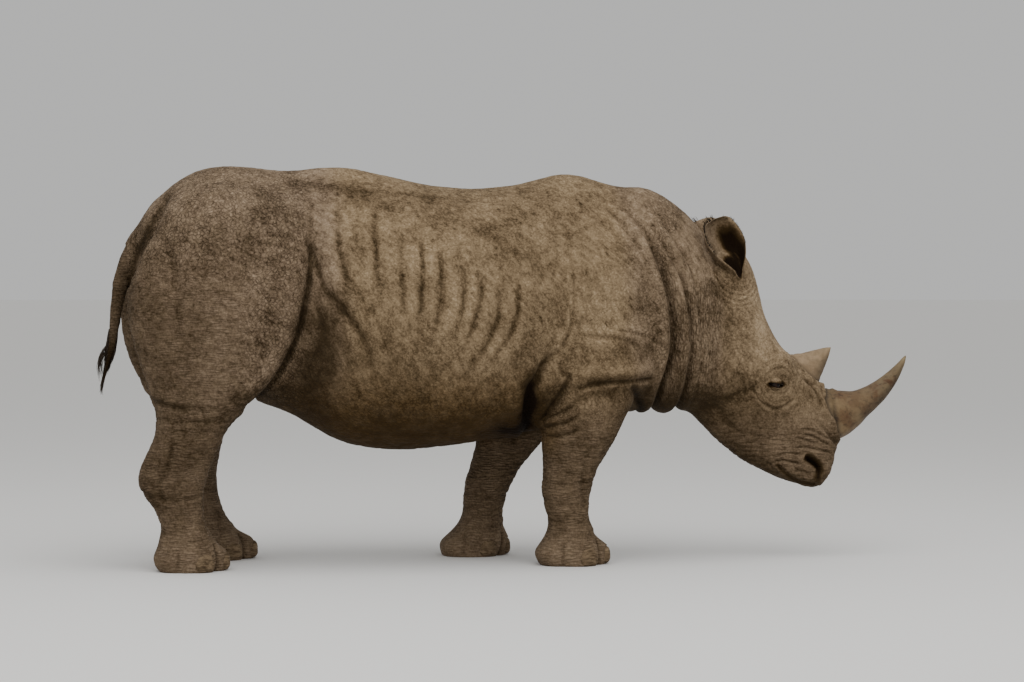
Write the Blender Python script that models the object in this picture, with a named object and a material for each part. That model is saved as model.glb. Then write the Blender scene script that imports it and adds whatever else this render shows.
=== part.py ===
"""A white rhinoceros standing still, life size: solids for its body, horns, eyes and nails.

Metres, +X towards the head, +Y towards the animal's left side, +Z up.
The flesh is one body, lofted from named sections, merged and smoothed, then parted by thin cuts.
The origin is on the floor, under the middle of the whole animal.
"""

import math

import bmesh
import bpy
from mathutils import Matrix, Vector

# ---------------------------------------------------------------- driving sizes
GAP = 0.0003                # clearance between pieces that touch
VOXEL = 0.020               # grid on which the lofts are merged into one body
SMOOTH_STEPS = 40           # rounds off the creases where the lofts meet
SOFTNESS = {"trunk": 1.0, "head": 0.30, "legs": 0.25, "feet": 0.06}   # how much of that each takes
BODY_SHARE = 0.0383         # share of the merged body's triangles that is kept
COARSENESS = {"trunk": 1.0, "head": 0.99, "legs": 1.0, "feet": 1.0}   # how readily each gives them up
TRUNK_SIDES, TRUNK_STEPS = 40, 4         # corners of a section, steps from one section to the next
HEAD_SIDES, HEAD_STEPS = 36, 4
LEG_SIDES, LEG_STEPS = 28, 3
LEG_SQUARENESS = 2.2

HEAD_POLL = Vector((0.93, 0.0, 1.30))    # where the head's own axis starts
HEAD_PITCH = math.radians(66.0)          # how far the face points below level
NECK_CUT = (Vector((0.59, 0.0, 1.14)), Vector((0.99, 0.0, 0.14)))    # where the neck leaves the trunk
HEAD_CUT = (Vector((0.795, 0.0, 1.04)), Vector((0.99, 0.0, -0.14)))  # where the head leaves the neck

# Colour and roughness of each finish, under the word that the names of its pieces hold.
FINISHES = {
    "hide": ((0.205, 0.165, 0.125), 0.85),
    "horn": ((0.185, 0.130, 0.090), 0.60),
    "nail": ((0.150, 0.120, 0.095), 0.70),
    "eye": ((0.012, 0.008, 0.006), 0.10),
    "tuft": ((0.030, 0.022, 0.018), 0.75),
}

# Trunk sections across the body:
# x, top, belly, half width, height of the widest point, squareness above and below it.
TRUNK = (
    (-1.640, 1.330, 1.050, 0.090, 1.18, 2.0, 2.0),
    (-1.590, 1.490, 0.900, 0.230, 1.16, 2.1, 2.0),
    (-1.480, 1.622, 0.800, 0.335, 1.15, 2.1, 2.0),
    (-1.330, 1.704, 0.750, 0.390, 1.14, 1.9, 2.0),
    (-1.180, 1.712, 0.720, 0.410, 1.12, 1.8, 2.0),
    (-0.970, 1.694, 0.645, 0.430, 1.10, 1.7, 2.2),
    (-0.750, 1.716, 0.520, 0.480, 1.02, 1.6, 2.3),
    (-0.500, 1.658, 0.484, 0.520, 1.00, 1.8, 2.4),
    (-0.230, 1.618, 0.508, 0.520, 1.00, 1.9, 2.4),
    (0.000, 1.634, 0.546, 0.470, 1.02, 1.9, 2.3),
    (0.230, 1.690, 0.585, 0.390, 1.05, 1.7, 2.2),
    (0.420, 1.646, 0.625, 0.330, 1.05, 1.8, 2.1),
    (0.600, 1.590, 0.700, 0.250, 1.05, 2.0, 2.0),
)

# Neck sections across the body, in the same order as the trunk's.
NECK = (
    (0.280, 1.600, 0.680, 0.320, 1.10, 1.9, 2.0),
    (0.480, 1.628, 0.650, 0.345, 1.04, 1.9, 2.1),
    (0.580, 1.630, 0.655, 0.335, 1.02, 1.9, 2.1),
    (0.670, 1.592, 0.650, 0.315, 1.00, 2.0, 2.1),
    (0.760, 1.525, 0.655, 0.285, 0.98, 2.0, 2.1),
    (0.850, 1.425, 0.640, 0.250, 0.96, 2.0, 2.0),
    (0.950, 1.310, 0.660, 0.200, 0.96, 2.0, 2.0),
)

# Head sections square to the face:
# distance from the poll, forehead side, jaw side, half width, offset of the widest point, squareness.
HEAD = (
    (-0.060, 0.055, -0.100, 0.120, -0.02, 2.0),
    (0.000, 0.100, -0.170, 0.175, -0.03, 2.1),
    (0.070, 0.108, -0.240, 0.195, -0.05, 2.3),
    (0.160, 0.096, -0.300, 0.202, -0.07, 2.4),
    (0.270, 0.078, -0.360, 0.206, -0.10, 2.3),
    (0.370, 0.075, -0.400, 0.210, -0.11, 2.3),
    (0.460, 0.092, -0.418, 0.206, -0.10, 2.2),
    (0.550, 0.130, -0.400, 0.194, -0.07, 2.1),
    (0.650, 0.180, -0.366, 0.160, -0.06, 2.0),
    (0.740, 0.212, -0.330, 0.134, -0.06, 2.1),
    (0.840, 0.190, -0.272, 0.126, -0.05, 2.3),
    (0.930, 0.158, -0.198, 0.138, -0.04, 2.6),
    (0.990, 0.114, -0.140, 0.148, -0.02, 2.8),
    (1.045, 0.066, -0.080, 0.132, -0.01, 2.7),
    (1.082, 0.014, -0.040, 0.080, -0.01, 2.2),
)

# Masses that stand out of the lofts on both sides: place, radii.
MASSES = {
    "hip bone": ((-0.975, 0.240, 1.450), (0.205, 0.105, 0.112)),
    "rump": ((-1.255, 0.190, 1.400), (0.300, 0.188, 0.228)),
    "buttock": ((-1.465, 0.215, 1.140), (0.205, 0.170, 0.300)),
    "thigh": ((-1.250, 0.270, 1.080), (0.325, 0.195, 0.370)),
    "shoulder": ((0.270, 0.245, 1.100), (0.290, 0.160, 0.350)),
    "upper arm": ((0.340, 0.255, 0.880), (0.240, 0.155, 0.220)),
}
CHEST = ((0.420, 0.0, 0.800), (0.220, 0.230, 0.160))
NOSE_BOSS = ((0.820, 0.090, 0.0), (0.135, 0.112, 0.142))
# The same on the head: distance from the poll, above the face's axis, out, radii.
HEAD_MASSES = {
    "cheek": ((0.420, -0.220, 0.125), (0.150, 0.100, 0.150)),
    "brow": ((0.510, 0.024, 0.122), (0.090, 0.062, 0.070)),
    "lip": ((0.985, -0.020, 0.086), (0.080, 0.066, 0.075)),
}

# Leg sections level with the floor: height, back edge, front edge, half width, distance out.
FORE_LEG = (
    (1.300, 0.160, 0.420, 0.080, 0.22),
    (1.100, 0.080, 0.540, 0.120, 0.25),
    (0.930, 0.070, 0.580, 0.145, 0.270),
    (0.810, 0.088, 0.545, 0.150, 0.275),
    (0.720, 0.110, 0.492, 0.140, 0.268),
    (0.640, 0.100, 0.464, 0.130, 0.260),
    (0.560, 0.082, 0.424, 0.120, 0.255),
    (0.480, 0.084, 0.376, 0.110, 0.250),
    (0.400, 0.090, 0.328, 0.102, 0.245),
    (0.340, 0.084, 0.308, 0.100, 0.242),
    (0.270, 0.092, 0.295, 0.093, 0.240),
    (0.200, 0.116, 0.296, 0.090, 0.238),
    (0.140, 0.112, 0.315, 0.104, 0.236),
    (0.090, 0.084, 0.340, 0.120, 0.236),
    (0.045, 0.076, 0.345, 0.126, 0.236),
    (-0.080, 0.090, 0.335, 0.120, 0.236),
)
HIND_LEG = (
    (1.450, -1.450, -1.080, 0.100, 0.20),
    (1.300, -1.590, -0.960, 0.150, 0.24),
    (1.100, -1.655, -0.914, 0.180, 0.265),
    (0.950, -1.642, -0.956, 0.182, 0.270),
    (0.820, -1.602, -1.028, 0.168, 0.270),
    (0.710, -1.564, -1.128, 0.150, 0.268),
    (0.610, -1.550, -1.234, 0.128, 0.265),
    (0.530, -1.574, -1.274, 0.115, 0.262),
    (0.430, -1.622, -1.316, 0.106, 0.258),
    (0.360, -1.632, -1.340, 0.102, 0.256),
    (0.260, -1.562, -1.350, 0.095, 0.254),
    (0.180, -1.530, -1.333, 0.097, 0.252),
    (0.120, -1.540, -1.300, 0.114, 0.250),
    (0.060, -1.548, -1.284, 0.126, 0.250),
    (-0.080, -1.536, -1.290, 0.120, 0.250),
)
# How far a leg is moved along X at the floor, and the height at which it pivots.
STRIDES = {
    "fore_right": (0.0, 1.0),
    "fore_left": (-0.36, 1.20),
    "hind_right": (0.0, 1.0),
    "hind_left": (0.15, 0.72),
}
# Heights at which a leg is parted, and of the belly beside it, below which the cut takes the leg whole.
LEG_CUTS = {
    "fore": {"knee": 0.640, "ankle": 0.155, "belly": 0.500},
    "hind": {"knee": 0.650, "ankle": 0.165, "belly": 0.640},
}
LEG_TOP = 0.560             # below this all flesh behind the head is leg
FOOT_TOP = 0.150
# The block that parts a leg from the trunk, below and above the belly:
LEG_MARGIN = (0.090, 0.030)     # how far it stays off the leg fore and aft
LEG_INNER = (0.015, 0.130)      # how near the middle of the animal it reaches
LEG_OUTER = 0.800               # how far out it reaches
BLOCK_SIDES, BLOCK_SQUARENESS = 8, 6.0

# Toes of a foot: name, angle from straight ahead, outwards positive, and how far out its front is.
TOES = (("inner", -58.0, 0.140), ("middle", 0.0, 0.172), ("outer", 58.0, 0.144))
TOE_RADII = (0.075, 0.056, 0.082)
TOE_HEIGHT = 0.036
NAIL_RADII = (0.026, 0.042, 0.037)
NAIL_HEIGHT = 0.040
NAIL_SUNK = 0.020           # how far a nail's middle lies behind the front of the toe
NAIL_FACETS = (7, 5)        # round and along
BALL_FACETS = (24, 14)
EYE_FACETS = (12, 7)

EYE_RADIUS = 0.024
EYE_AT = (0.572, -0.034, 0.170)         # along the face, above its axis, out from the middle

EAR_LENGTH = 0.272
EAR_WALL = 0.015
EAR_RIM_THINNING = 0.50     # share of the wall lost from the back of the ear to its rims
EAR_TIP_THINNING = 0.45     # and from its root to its tip
EAR_STEPS = 6               # round one section
EAR_ROOT = (0.085, 0.000, 0.150)        # along the face, above its axis, out from the middle
# Ear sections from root to tip: share of the length, radius, degrees of a circle that the wall covers.
EAR_SECTIONS = (
    (0.00, 0.044, 205.0),
    (0.15, 0.054, 200.0),
    (0.32, 0.072, 190.0),
    (0.50, 0.087, 174.0),
    (0.68, 0.092, 154.0),
    (0.84, 0.088, 134.0),
    (0.94, 0.071, 120.0),
    (1.00, 0.044, 108.0),
)
EAR_LEAN = (-0.31, 0.20, 1.0)           # which way a left ear stands
EAR_FACING = (0.40, 1.0, 0.10)          # which way its opening faces

HORN_SIDES = 10
FRONT_SQUARENESS, REAR_SQUARENESS = 2.2, 2.0
TAIL_SIDES = 8

# Horns: points along the middle of the horn in the side view, with half length and half width there.
FRONT_HORN = (
    (1.370, 0.620, 0.118, 0.092),
    (1.445, 0.627, 0.114, 0.088),
    (1.505, 0.643, 0.090, 0.070),
    (1.570, 0.672, 0.062, 0.052),
    (1.640, 0.718, 0.046, 0.040),
    (1.700, 0.776, 0.031, 0.028),
    (1.745, 0.834, 0.016, 0.015),
    (1.772, 0.880, 0.004, 0.004),
)
REAR_HORN = (
    (1.220, 0.760, 0.110, 0.070),
    (1.300, 0.812, 0.092, 0.060),
    (1.346, 0.848, 0.064, 0.046),
    (1.388, 0.884, 0.034, 0.026),
    (1.428, 0.918, 0.006, 0.006),
)

# Tail with its tuft: points down its middle, with its half width fore and aft, and across.
TAIL = (
    (-1.440, 1.540, 0.070, 0.075),
    (-1.545, 1.452, 0.058, 0.060),
    (-1.603, 1.382, 0.049, 0.051),
    (-1.652, 1.298, 0.043, 0.044),
    (-1.688, 1.205, 0.036, 0.037),
    (-1.706, 1.100, 0.027, 0.030),
    (-1.718, 1.000, 0.022, 0.025),
    (-1.727, 0.930, 0.020, 0.023),
    (-1.741, 0.870, 0.025, 0.035),
    (-1.756, 0.815, 0.023, 0.026),
    (-1.768, 0.765, 0.008, 0.010),
)
TUFT_TOP = 0.925

UP = Vector((0, 0, 1))
LEFT = Vector((0, 1, 0))
FORWARD = Vector((1, 0, 0))
FACE_AXIS = Vector((math.cos(HEAD_PITCH), 0, -math.sin(HEAD_PITCH)))
FACE_UP = Vector((math.sin(HEAD_PITCH), 0, math.cos(HEAD_PITCH)))
SIDES = (("right", -1), ("left", 1))


# ---------------------------------------------------------------- helpers
def clear_scene():
    for obj in list(bpy.data.objects):
        bpy.data.objects.remove(obj)


def finish(name, colour, roughness):
    """A plain material."""
    made = bpy.data.materials.new(name)
    made.use_nodes = True
    shader = made.node_tree.nodes["Principled BSDF"]
    shader.inputs["Base Color"].default_value = (*colour, 1.0)
    shader.inputs["Roughness"].default_value = roughness
    shader.inputs["Metallic"].default_value = 0.0
    return made


def add_object(name, mesh, material=None):
    obj = bpy.data.objects.new(name, mesh)
    bpy.context.scene.collection.objects.link(obj)
    mesh.materials.clear()
    if material:
        mesh.materials.append(material)
    return obj


def helper(obj):
    """Keeps a cutter or a mould out of the model."""
    obj.hide_render = True
    obj.display_type = "WIRE"
    return obj


def evaluated_mesh(obj):
    """A copy of the mesh with its modifiers applied."""
    graph = bpy.context.evaluated_depsgraph_get()
    return bpy.data.meshes.new_from_object(obj.evaluated_get(graph))


def mesh_of(name, build, *args):
    """A mesh filled by build, of triangles split the same way at any size, facing outwards."""
    bm = bmesh.new()
    build(bm, *args)
    bmesh.ops.triangulate(bm, faces=bm.faces, quad_method="FIXED")
    bmesh.ops.recalc_face_normals(bm, faces=bm.faces)
    mesh = bpy.data.meshes.new(name)
    bm.to_mesh(mesh)
    bm.free()
    return mesh


def combined(mesh, cutter, operation):
    """The mesh after a Boolean with a closed cutter."""
    target = helper(add_object("target", mesh.copy()))
    tool = helper(add_object("tool", cutter))
    cut = target.modifiers.new("cut", "BOOLEAN")
    cut.solver = "EXACT"
    cut.operation = operation
    cut.object = tool
    made = evaluated_mesh(target)
    bpy.data.objects.remove(target)
    bpy.data.objects.remove(tool)
    return made


def half_of(mesh, place, normal, keep_front):
    """The part of a closed mesh on one side of a plane, closed again, half a gap off the plane."""
    towards = normal.normalized() if keep_front else -normal.normalized()
    bm = bmesh.new()
    bm.from_mesh(mesh)
    cut = bmesh.ops.bisect_plane(
        bm,
        geom=bm.verts[:] + bm.edges[:] + bm.faces[:],
        plane_co=place + towards * GAP / 2,
        plane_no=towards,
        clear_inner=True,
    )
    rim = [e for e in cut["geom_cut"] if isinstance(e, bmesh.types.BMEdge)]
    bmesh.ops.triangle_fill(bm, use_beauty=True, use_dissolve=False, edges=rim)
    bmesh.ops.recalc_face_normals(bm, faces=bm.faces)
    made = bpy.data.meshes.new("half")
    bm.to_mesh(made)
    bm.free()
    return made


def interpolate(rows, per_gap):
    """Rows of numbers joined by smooth curves, with per_gap steps between two rows."""
    made = []
    last = len(rows) - 1
    for i in range(last):
        before = rows[max(i - 1, 0)]
        after = rows[min(i + 2, last)]
        for step in range(per_gap):
            t = step / per_gap
            row = []
            for p0, p1, p2, p3 in zip(before, rows[i], rows[i + 1], after):
                slope_in = (p2 - p0) / 2
                slope_out = (p3 - p1) / 2
                row.append(
                    p1 * (2 * t**3 - 3 * t**2 + 1)
                    + slope_in * (t**3 - 2 * t**2 + t)
                    + p2 * (3 * t**2 - 2 * t**3)
                    + slope_out * (t**3 - t**2)
                )
            made.append(row)
    made.append(list(rows[last]))
    return made


def oval(centre, up, side, above, below, half, squareness, count):
    """One closed section that reaches above, below and half to each side, square or round in each half."""
    points = []
    for i in range(count):
        angle = 2 * math.pi * i / count
        c, s = math.cos(angle), math.sin(angle)
        power = 2 / squareness[0 if s >= 0 else 1]
        out = half * math.copysign(abs(c) ** power, c)
        rise = (above if s >= 0 else below) * math.copysign(abs(s) ** power, s)
        points.append(centre + side * out + up * rise)
    return points


def loft(bm, rings):
    """Joins closed sections into one skin with closed ends."""
    edges = []
    ends = []
    for ring in rings:
        verts = [bm.verts.new(p) for p in ring]
        edges.append([bm.edges.new(pair) for pair in zip(verts, verts[1:] + verts[:1])])
        ends.append(verts)
    for first, second in zip(edges, edges[1:]):
        bmesh.ops.bridge_loops(bm, edges=first + second)
    bm.faces.new(ends[0])
    bm.faces.new(ends[-1])


def ellipsoid(bm, centre, radii, turn=None, facets=BALL_FACETS):
    matrix = Matrix.Translation(centre) @ (turn or Matrix.Identity(4)) @ Matrix.Diagonal((*radii, 1.0))
    bmesh.ops.create_uvsphere(bm, u_segments=facets[0], v_segments=facets[1], radius=1.0, matrix=matrix)


def swollen(mesh, amount):
    """A copy with its skin moved outwards."""
    made = mesh.copy()
    for vertex, normal in zip(made.vertices, [v.vector.copy() for v in mesh.vertex_normals]):
        vertex.co += normal * amount
    return made


def on_head(along, above, out=0.0):
    """A point given along the face from the poll, above the face's axis and out from the middle."""
    return HEAD_POLL + FACE_AXIS * along + FACE_UP * above + LEFT * out


# ---------------------------------------------------------------- the flesh, as one body
def barrel(bm, rows):
    rings = []
    for x, top, belly, half, widest, *squareness in interpolate(rows, TRUNK_STEPS):
        centre = Vector((x, 0, widest))
        rings.append(oval(centre, UP, LEFT, top - widest, widest - belly, half, squareness, TRUNK_SIDES))
    loft(bm, rings)


def skull(bm):
    rings = []
    for along, above, below, half, widest, square in interpolate(HEAD, HEAD_STEPS):
        centre = on_head(along, widest)
        rise, drop = above - widest, widest - below
        rings.append(oval(centre, FACE_UP, LEFT, rise, drop, half, (square, square), HEAD_SIDES))
    loft(bm, rings)


def stride_at(leg_name, z):
    """How far a leg is moved along X at a height, swinging about its pivot."""
    amount, pivot = STRIDES[leg_name]
    return amount * max(0.0, 1 - z / pivot)


def leg(bm, rows, leg_name, side):
    rings = []
    squareness = (LEG_SQUARENESS, LEG_SQUARENESS)
    for z, back, front, half, out in interpolate(rows, LEG_STEPS):
        centre = Vector(((back + front) / 2 + stride_at(leg_name, z), side * out, z))
        reach = (front - back) / 2
        rings.append(oval(centre, FORWARD, LEFT, reach, reach, half, squareness, LEG_SIDES))
    loft(bm, rings)


def foot_centre(rows, leg_name, side):
    """The middle of the foot at the floor, from which the toes spread."""
    _, back, front, _, out = rows[-2]
    return Vector(((back + front) / 2 + stride_at(leg_name, 0.0), side * out, 0.0))


def toe_frame(centre, side, angle, reach, height):
    """Where something on a toe is, and how it is turned to point outwards."""
    turn = math.radians(angle) * side
    direction = Vector((math.cos(turn), math.sin(turn), 0))
    return centre + direction * reach + UP * height, Matrix.Rotation(turn, 4, "Z")


def toes(bm, rows, leg_name, side):
    centre = foot_centre(rows, leg_name, side)
    for _, angle, reach in TOES:
        place, turn = toe_frame(centre, side, angle, reach - TOE_RADII[0], TOE_HEIGHT)
        ellipsoid(bm, place, TOE_RADII, turn)


def masses(bm):
    for (x, y, z), radii in MASSES.values():
        for _, side in SIDES:
            ellipsoid(bm, (x, side * y, z), radii)
    ellipsoid(bm, *CHEST)
    turn = Matrix.Rotation(HEAD_PITCH, 4, "Y")
    ellipsoid(bm, on_head(*NOSE_BOSS[0]), NOSE_BOSS[1], turn)
    for (along, above, out), radii in HEAD_MASSES.values():
        for _, side in SIDES:
            ellipsoid(bm, on_head(along, above, side * out), radii, turn)


def each_leg():
    """Name, sections and side of the four legs."""
    for place, rows in (("fore", FORE_LEG), ("hind", HIND_LEG)):
        for label, side in SIDES:
            yield f"{place}_{label}", rows, side


def build_flesh(bm):
    barrel(bm, TRUNK)
    barrel(bm, NECK)
    skull(bm)
    masses(bm)
    for name, rows, side in each_leg():
        leg(bm, rows, name, side)
        toes(bm, rows, name, side)


def region_of(place):
    """Which region of the flesh a point is in."""
    if (place - HEAD_CUT[0]).dot(HEAD_CUT[1]) > 0:
        return "head"
    if place.z < FOOT_TOP:
        return "feet"
    return "legs" if place.z < LEG_TOP else "trunk"


def whole_body():
    """The lofts merged into one closed skin, its creases rounded, with few triangles, cut at the floor."""
    obj = helper(add_object("mould", mesh_of("mould", build_flesh)))
    merge = obj.modifiers.new("merge", "REMESH")
    merge.mode = "VOXEL"
    merge.voxel_size = VOXEL
    obj.data = evaluated_mesh(obj)
    obj.modifiers.clear()
    softness = obj.vertex_groups.new(name="softness")
    coarseness = obj.vertex_groups.new(name="coarseness")
    for vertex in obj.data.vertices:
        region = region_of(vertex.co)
        softness.add([vertex.index], SOFTNESS[region], "REPLACE")
        coarseness.add([vertex.index], COARSENESS[region], "REPLACE")
    relax = obj.modifiers.new("relax", "SMOOTH")
    relax.factor = 0.5
    relax.iterations = SMOOTH_STEPS
    relax.vertex_group = softness.name
    thin = obj.modifiers.new("thin", "DECIMATE")
    thin.ratio = BODY_SHARE
    thin.vertex_group = coarseness.name
    thin.vertex_group_factor = 1.0
    made = half_of(evaluated_mesh(obj), -UP * GAP / 2, UP, True)
    bpy.data.objects.remove(obj)
    return made


# ---------------------------------------------------------------- parting the flesh
def leg_cutter(bm, rows, leg_name, side, belly, grow):
    """A block round one leg, from under the foot to the top of its muscle, wider than the skin."""
    rings = []
    squareness = (BLOCK_SQUARENESS, BLOCK_SQUARENESS)
    for z, back, front, _, _ in rows[:-1:2] + rows[-1:]:
        above = int(z > belly)
        inner = LEG_INNER[above] - grow
        middle = (inner + LEG_OUTER) / 2
        centre = Vector(((back + front) / 2 + stride_at(leg_name, z), side * middle, z))
        reach = (front - back) / 2 + LEG_MARGIN[above] + grow
        rings.append(oval(centre, FORWARD, LEFT, reach, reach, LEG_OUTER - middle, squareness, BLOCK_SIDES))
    for point in rings[0]:
        point.z += grow
    loft(bm, rings)


def split_leg(mesh, name, cuts):
    """Upper leg, lower leg and foot."""
    at_knee, at_ankle = UP * cuts["knee"], UP * cuts["ankle"]
    below = half_of(mesh, at_knee, UP, False)
    return {
        f"{name}_upper": half_of(mesh, at_knee, UP, True),
        f"{name}_lower": half_of(below, at_ankle, UP, True),
        f"{name}_foot": half_of(below, at_ankle, UP, False),
    }


def parted(body):
    """The flesh by node name."""
    nodes = {}
    rest = body
    for name, rows, side in each_leg():
        cuts = LEG_CUTS[name[:4]]
        tight = mesh_of("cutter", leg_cutter, rows, name, side, cuts["belly"], 0.0)
        loose = mesh_of("cutter", leg_cutter, rows, name, side, cuts["belly"], GAP)
        nodes.update(split_leg(combined(body, tight, "INTERSECT"), name, cuts))
        rest = combined(rest, loose, "DIFFERENCE")
    nodes["trunk"] = half_of(rest, *NECK_CUT, False)
    front = half_of(rest, *NECK_CUT, True)
    nodes["neck"] = half_of(front, *HEAD_CUT, False)
    nodes["head"] = half_of(front, *HEAD_CUT, True)
    return nodes


# ---------------------------------------------------------------- eyes, ears, horns, tail and nails
def eyeball(bm, side, grow):
    along, above, out = EYE_AT
    radius = EYE_RADIUS + grow
    turn = Matrix.Rotation(math.radians(90), 4, "X")
    ellipsoid(bm, on_head(along, above, side * out), (radius,) * 3, turn, EYE_FACETS)


def ear(bm, side):
    """A cupped leaf: arcs that open towards the ear's facing, doubled to give the wall its thickness."""
    root = on_head(*EAR_ROOT[:2], side * EAR_ROOT[2])
    lean = Vector((EAR_LEAN[0], side * EAR_LEAN[1], EAR_LEAN[2])).normalized()
    facing = Vector((EAR_FACING[0], side * EAR_FACING[1], EAR_FACING[2]))
    facing = (facing - lean * facing.dot(lean)).normalized()
    across = lean.cross(facing)
    rings = []
    for share, half, sweep in EAR_SECTIONS:
        arc = math.radians(sweep) / 2
        centre = root + lean * (share * EAR_LENGTH)
        outer, inner = [], []
        for i in range(EAR_STEPS + 1):
            turn = 2 * i / EAR_STEPS - 1
            angle = arc * turn
            radial = across * math.sin(angle) - facing * math.cos(angle)
            wall = EAR_WALL * (1 - EAR_RIM_THINNING * abs(turn)) * (1 - EAR_TIP_THINNING * share)
            outer.append(centre + radial * half)
            inner.append(centre + radial * (half - wall))
        rings.append(outer + inner[::-1])
    loft(bm, rings)


def spike(bm, rows, square, sides):
    """A loft along a middle line in the side view, each section square to it: a horn or the tail."""
    rings = []
    for i, (x, z, reach, half) in enumerate(rows):
        before, after = rows[max(i - 1, 0)], rows[min(i + 1, len(rows) - 1)]
        along = Vector((after[0] - before[0], 0, after[1] - before[1])).normalized()
        centre = Vector((x, 0, z))
        rings.append(oval(centre, along.cross(LEFT), LEFT, reach, reach, half, (square, square), sides))
    loft(bm, rings)


def nail(bm, centre, side, angle, reach, grow):
    place, turn = toe_frame(centre, side, angle, reach - NAIL_SUNK, NAIL_HEIGHT)
    radii = [r + grow for r in NAIL_RADII]
    ellipsoid(bm, place, radii, turn, NAIL_FACETS)


def add_growths(nodes, body):
    """Ears, horns and tail end at the skin, and the eyes sit in sockets."""
    skin = swollen(body, 3 * GAP)
    made = {}
    for label, side in SIDES:
        made[f"ear_{label}"] = combined(mesh_of("ear", ear, side), skin.copy(), "DIFFERENCE")
        made[f"eye_{label}"] = mesh_of("eye", eyeball, side, 0.0)
        nodes["head"] = combined(nodes["head"], mesh_of("socket", eyeball, side, 2 * GAP), "DIFFERENCE")
    front_horn = mesh_of("horn", spike, FRONT_HORN, FRONT_SQUARENESS, HORN_SIDES)
    made["horn_front"] = combined(front_horn, skin.copy(), "DIFFERENCE")
    rear_horn = mesh_of("horn", spike, REAR_HORN, REAR_SQUARENESS, HORN_SIDES)
    made["horn_rear"] = combined(rear_horn, skin.copy(), "DIFFERENCE")
    tail = combined(mesh_of("tail", spike, TAIL, 2.0, TAIL_SIDES), skin, "DIFFERENCE")
    made["tail"] = half_of(tail, UP * TUFT_TOP, UP, True)
    made["tail_tuft"] = half_of(tail, UP * TUFT_TOP, UP, False)
    return made


def add_nails(nodes):
    """Nails half sunk in the front of each toe."""
    made = {}
    for name, rows, side in each_leg():
        centre = foot_centre(rows, name, side)
        for label, angle, reach in TOES:
            made[f"{name}_nail_{label}"] = mesh_of("nail", nail, centre, side, angle, reach, 0.0)
            seat = mesh_of("seat", nail, centre, side, angle, reach, 2 * GAP)
            nodes[f"{name}_foot"] = combined(nodes[f"{name}_foot"], seat, "DIFFERENCE")
    return made


def centred(parts):
    """Moves everything so that the origin is under the middle of the whole animal."""
    points = [v.co for mesh in parts.values() for v in mesh.vertices]
    middle = [(min(p[i] for p in points) + max(p[i] for p in points)) / 2 for i in (0, 1)]
    shift = Vector((-middle[0], -middle[1], 0))
    for mesh in parts.values():
        mesh.transform(Matrix.Translation(shift))
    return shift


def material_of(name, finishes):
    for key, made in finishes.items():
        if name.startswith(key) or f"_{key}" in name:
            return made
    return finishes["hide"]


clear_scene()
finishes = {word: finish(word, *look) for word, look in FINISHES.items()}
body = whole_body()
parts = parted(body)
parts.update(add_growths(parts, body))
parts.update(add_nails(parts))
ORIGIN_SHIFT = centred(parts)
for name, mesh in parts.items():
    obj = add_object(name, mesh, material_of(name, finishes))
print("moved by", tuple(round(v, 4) for v in ORIGIN_SHIFT))
print("triangles", sum(len(p.vertices) - 2 for mesh in parts.values() for p in mesh.polygons))
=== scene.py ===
import math
import random

import bmesh
import bpy
import numpy as np
from mathutils import Matrix, Vector, noise
from mathutils.bvhtree import BVHTree


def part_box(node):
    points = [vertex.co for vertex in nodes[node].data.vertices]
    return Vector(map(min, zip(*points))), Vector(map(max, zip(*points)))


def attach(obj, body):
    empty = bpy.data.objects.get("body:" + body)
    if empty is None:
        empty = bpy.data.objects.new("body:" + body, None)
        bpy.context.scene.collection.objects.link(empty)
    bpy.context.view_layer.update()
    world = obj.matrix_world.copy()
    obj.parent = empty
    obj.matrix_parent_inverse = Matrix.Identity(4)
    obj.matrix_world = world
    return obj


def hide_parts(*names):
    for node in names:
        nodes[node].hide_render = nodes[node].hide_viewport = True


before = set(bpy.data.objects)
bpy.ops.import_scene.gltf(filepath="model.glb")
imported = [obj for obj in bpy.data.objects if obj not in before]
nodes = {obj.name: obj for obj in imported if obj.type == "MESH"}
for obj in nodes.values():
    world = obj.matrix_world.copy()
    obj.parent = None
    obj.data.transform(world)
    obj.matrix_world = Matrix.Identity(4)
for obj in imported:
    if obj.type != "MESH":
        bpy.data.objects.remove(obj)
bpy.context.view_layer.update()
legNames = ["fore_right", "fore_left", "hind_right", "hind_left"]
sideOf = {"right": -1, "left": 1}
print("frame loaded")


# numbers of a mesh as arrays, and back
def gathered(items, field, kind=float, width=3):
    flat = np.empty(len(items) * width, dtype=kind)
    items.foreach_get(field, flat)
    return flat.reshape(-1, width)


def pointsOf(mesh):
    return gathered(mesh.vertices, "co")


def normalsOf(mesh):
    return gathered(mesh.vertex_normals, "vector")


def edgesOf(mesh):
    return gathered(mesh.edges, "vertices", np.int32, 2)


def setPoints(mesh, points):
    mesh.vertices.foreach_set("co", points.ravel())
    mesh.update()


def paintPoints(mesh, name, values):    # a number on every point, for the materials
    layer = mesh.attributes.new(name, "FLOAT", "POINT")
    layer.data.foreach_set("value", values.astype(np.float32))


# meshes and pieces
def meshFrom(bm, name):
    mesh = bpy.data.meshes.new(name)
    bm.to_mesh(mesh)
    bm.free()
    return mesh


def solidOf(name):    # a node of the frame as a closed bmesh
    bm = bmesh.new()
    bm.from_mesh(nodes[name].data)
    bmesh.ops.remove_doubles(bm, verts=bm.verts, dist=1e-5)
    return bm


def addPiece(name, mesh):
    piece = bpy.data.objects.new(name, mesh)
    bpy.context.scene.collection.objects.link(piece)
    return piece


def evaluated(piece):    # the mesh that a piece's modifiers leave, and the piece removed
    mesh = bpy.data.meshes.new_from_object(piece.evaluated_get(bpy.context.evaluated_depsgraph_get()))
    bpy.data.objects.remove(piece)
    return mesh


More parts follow.
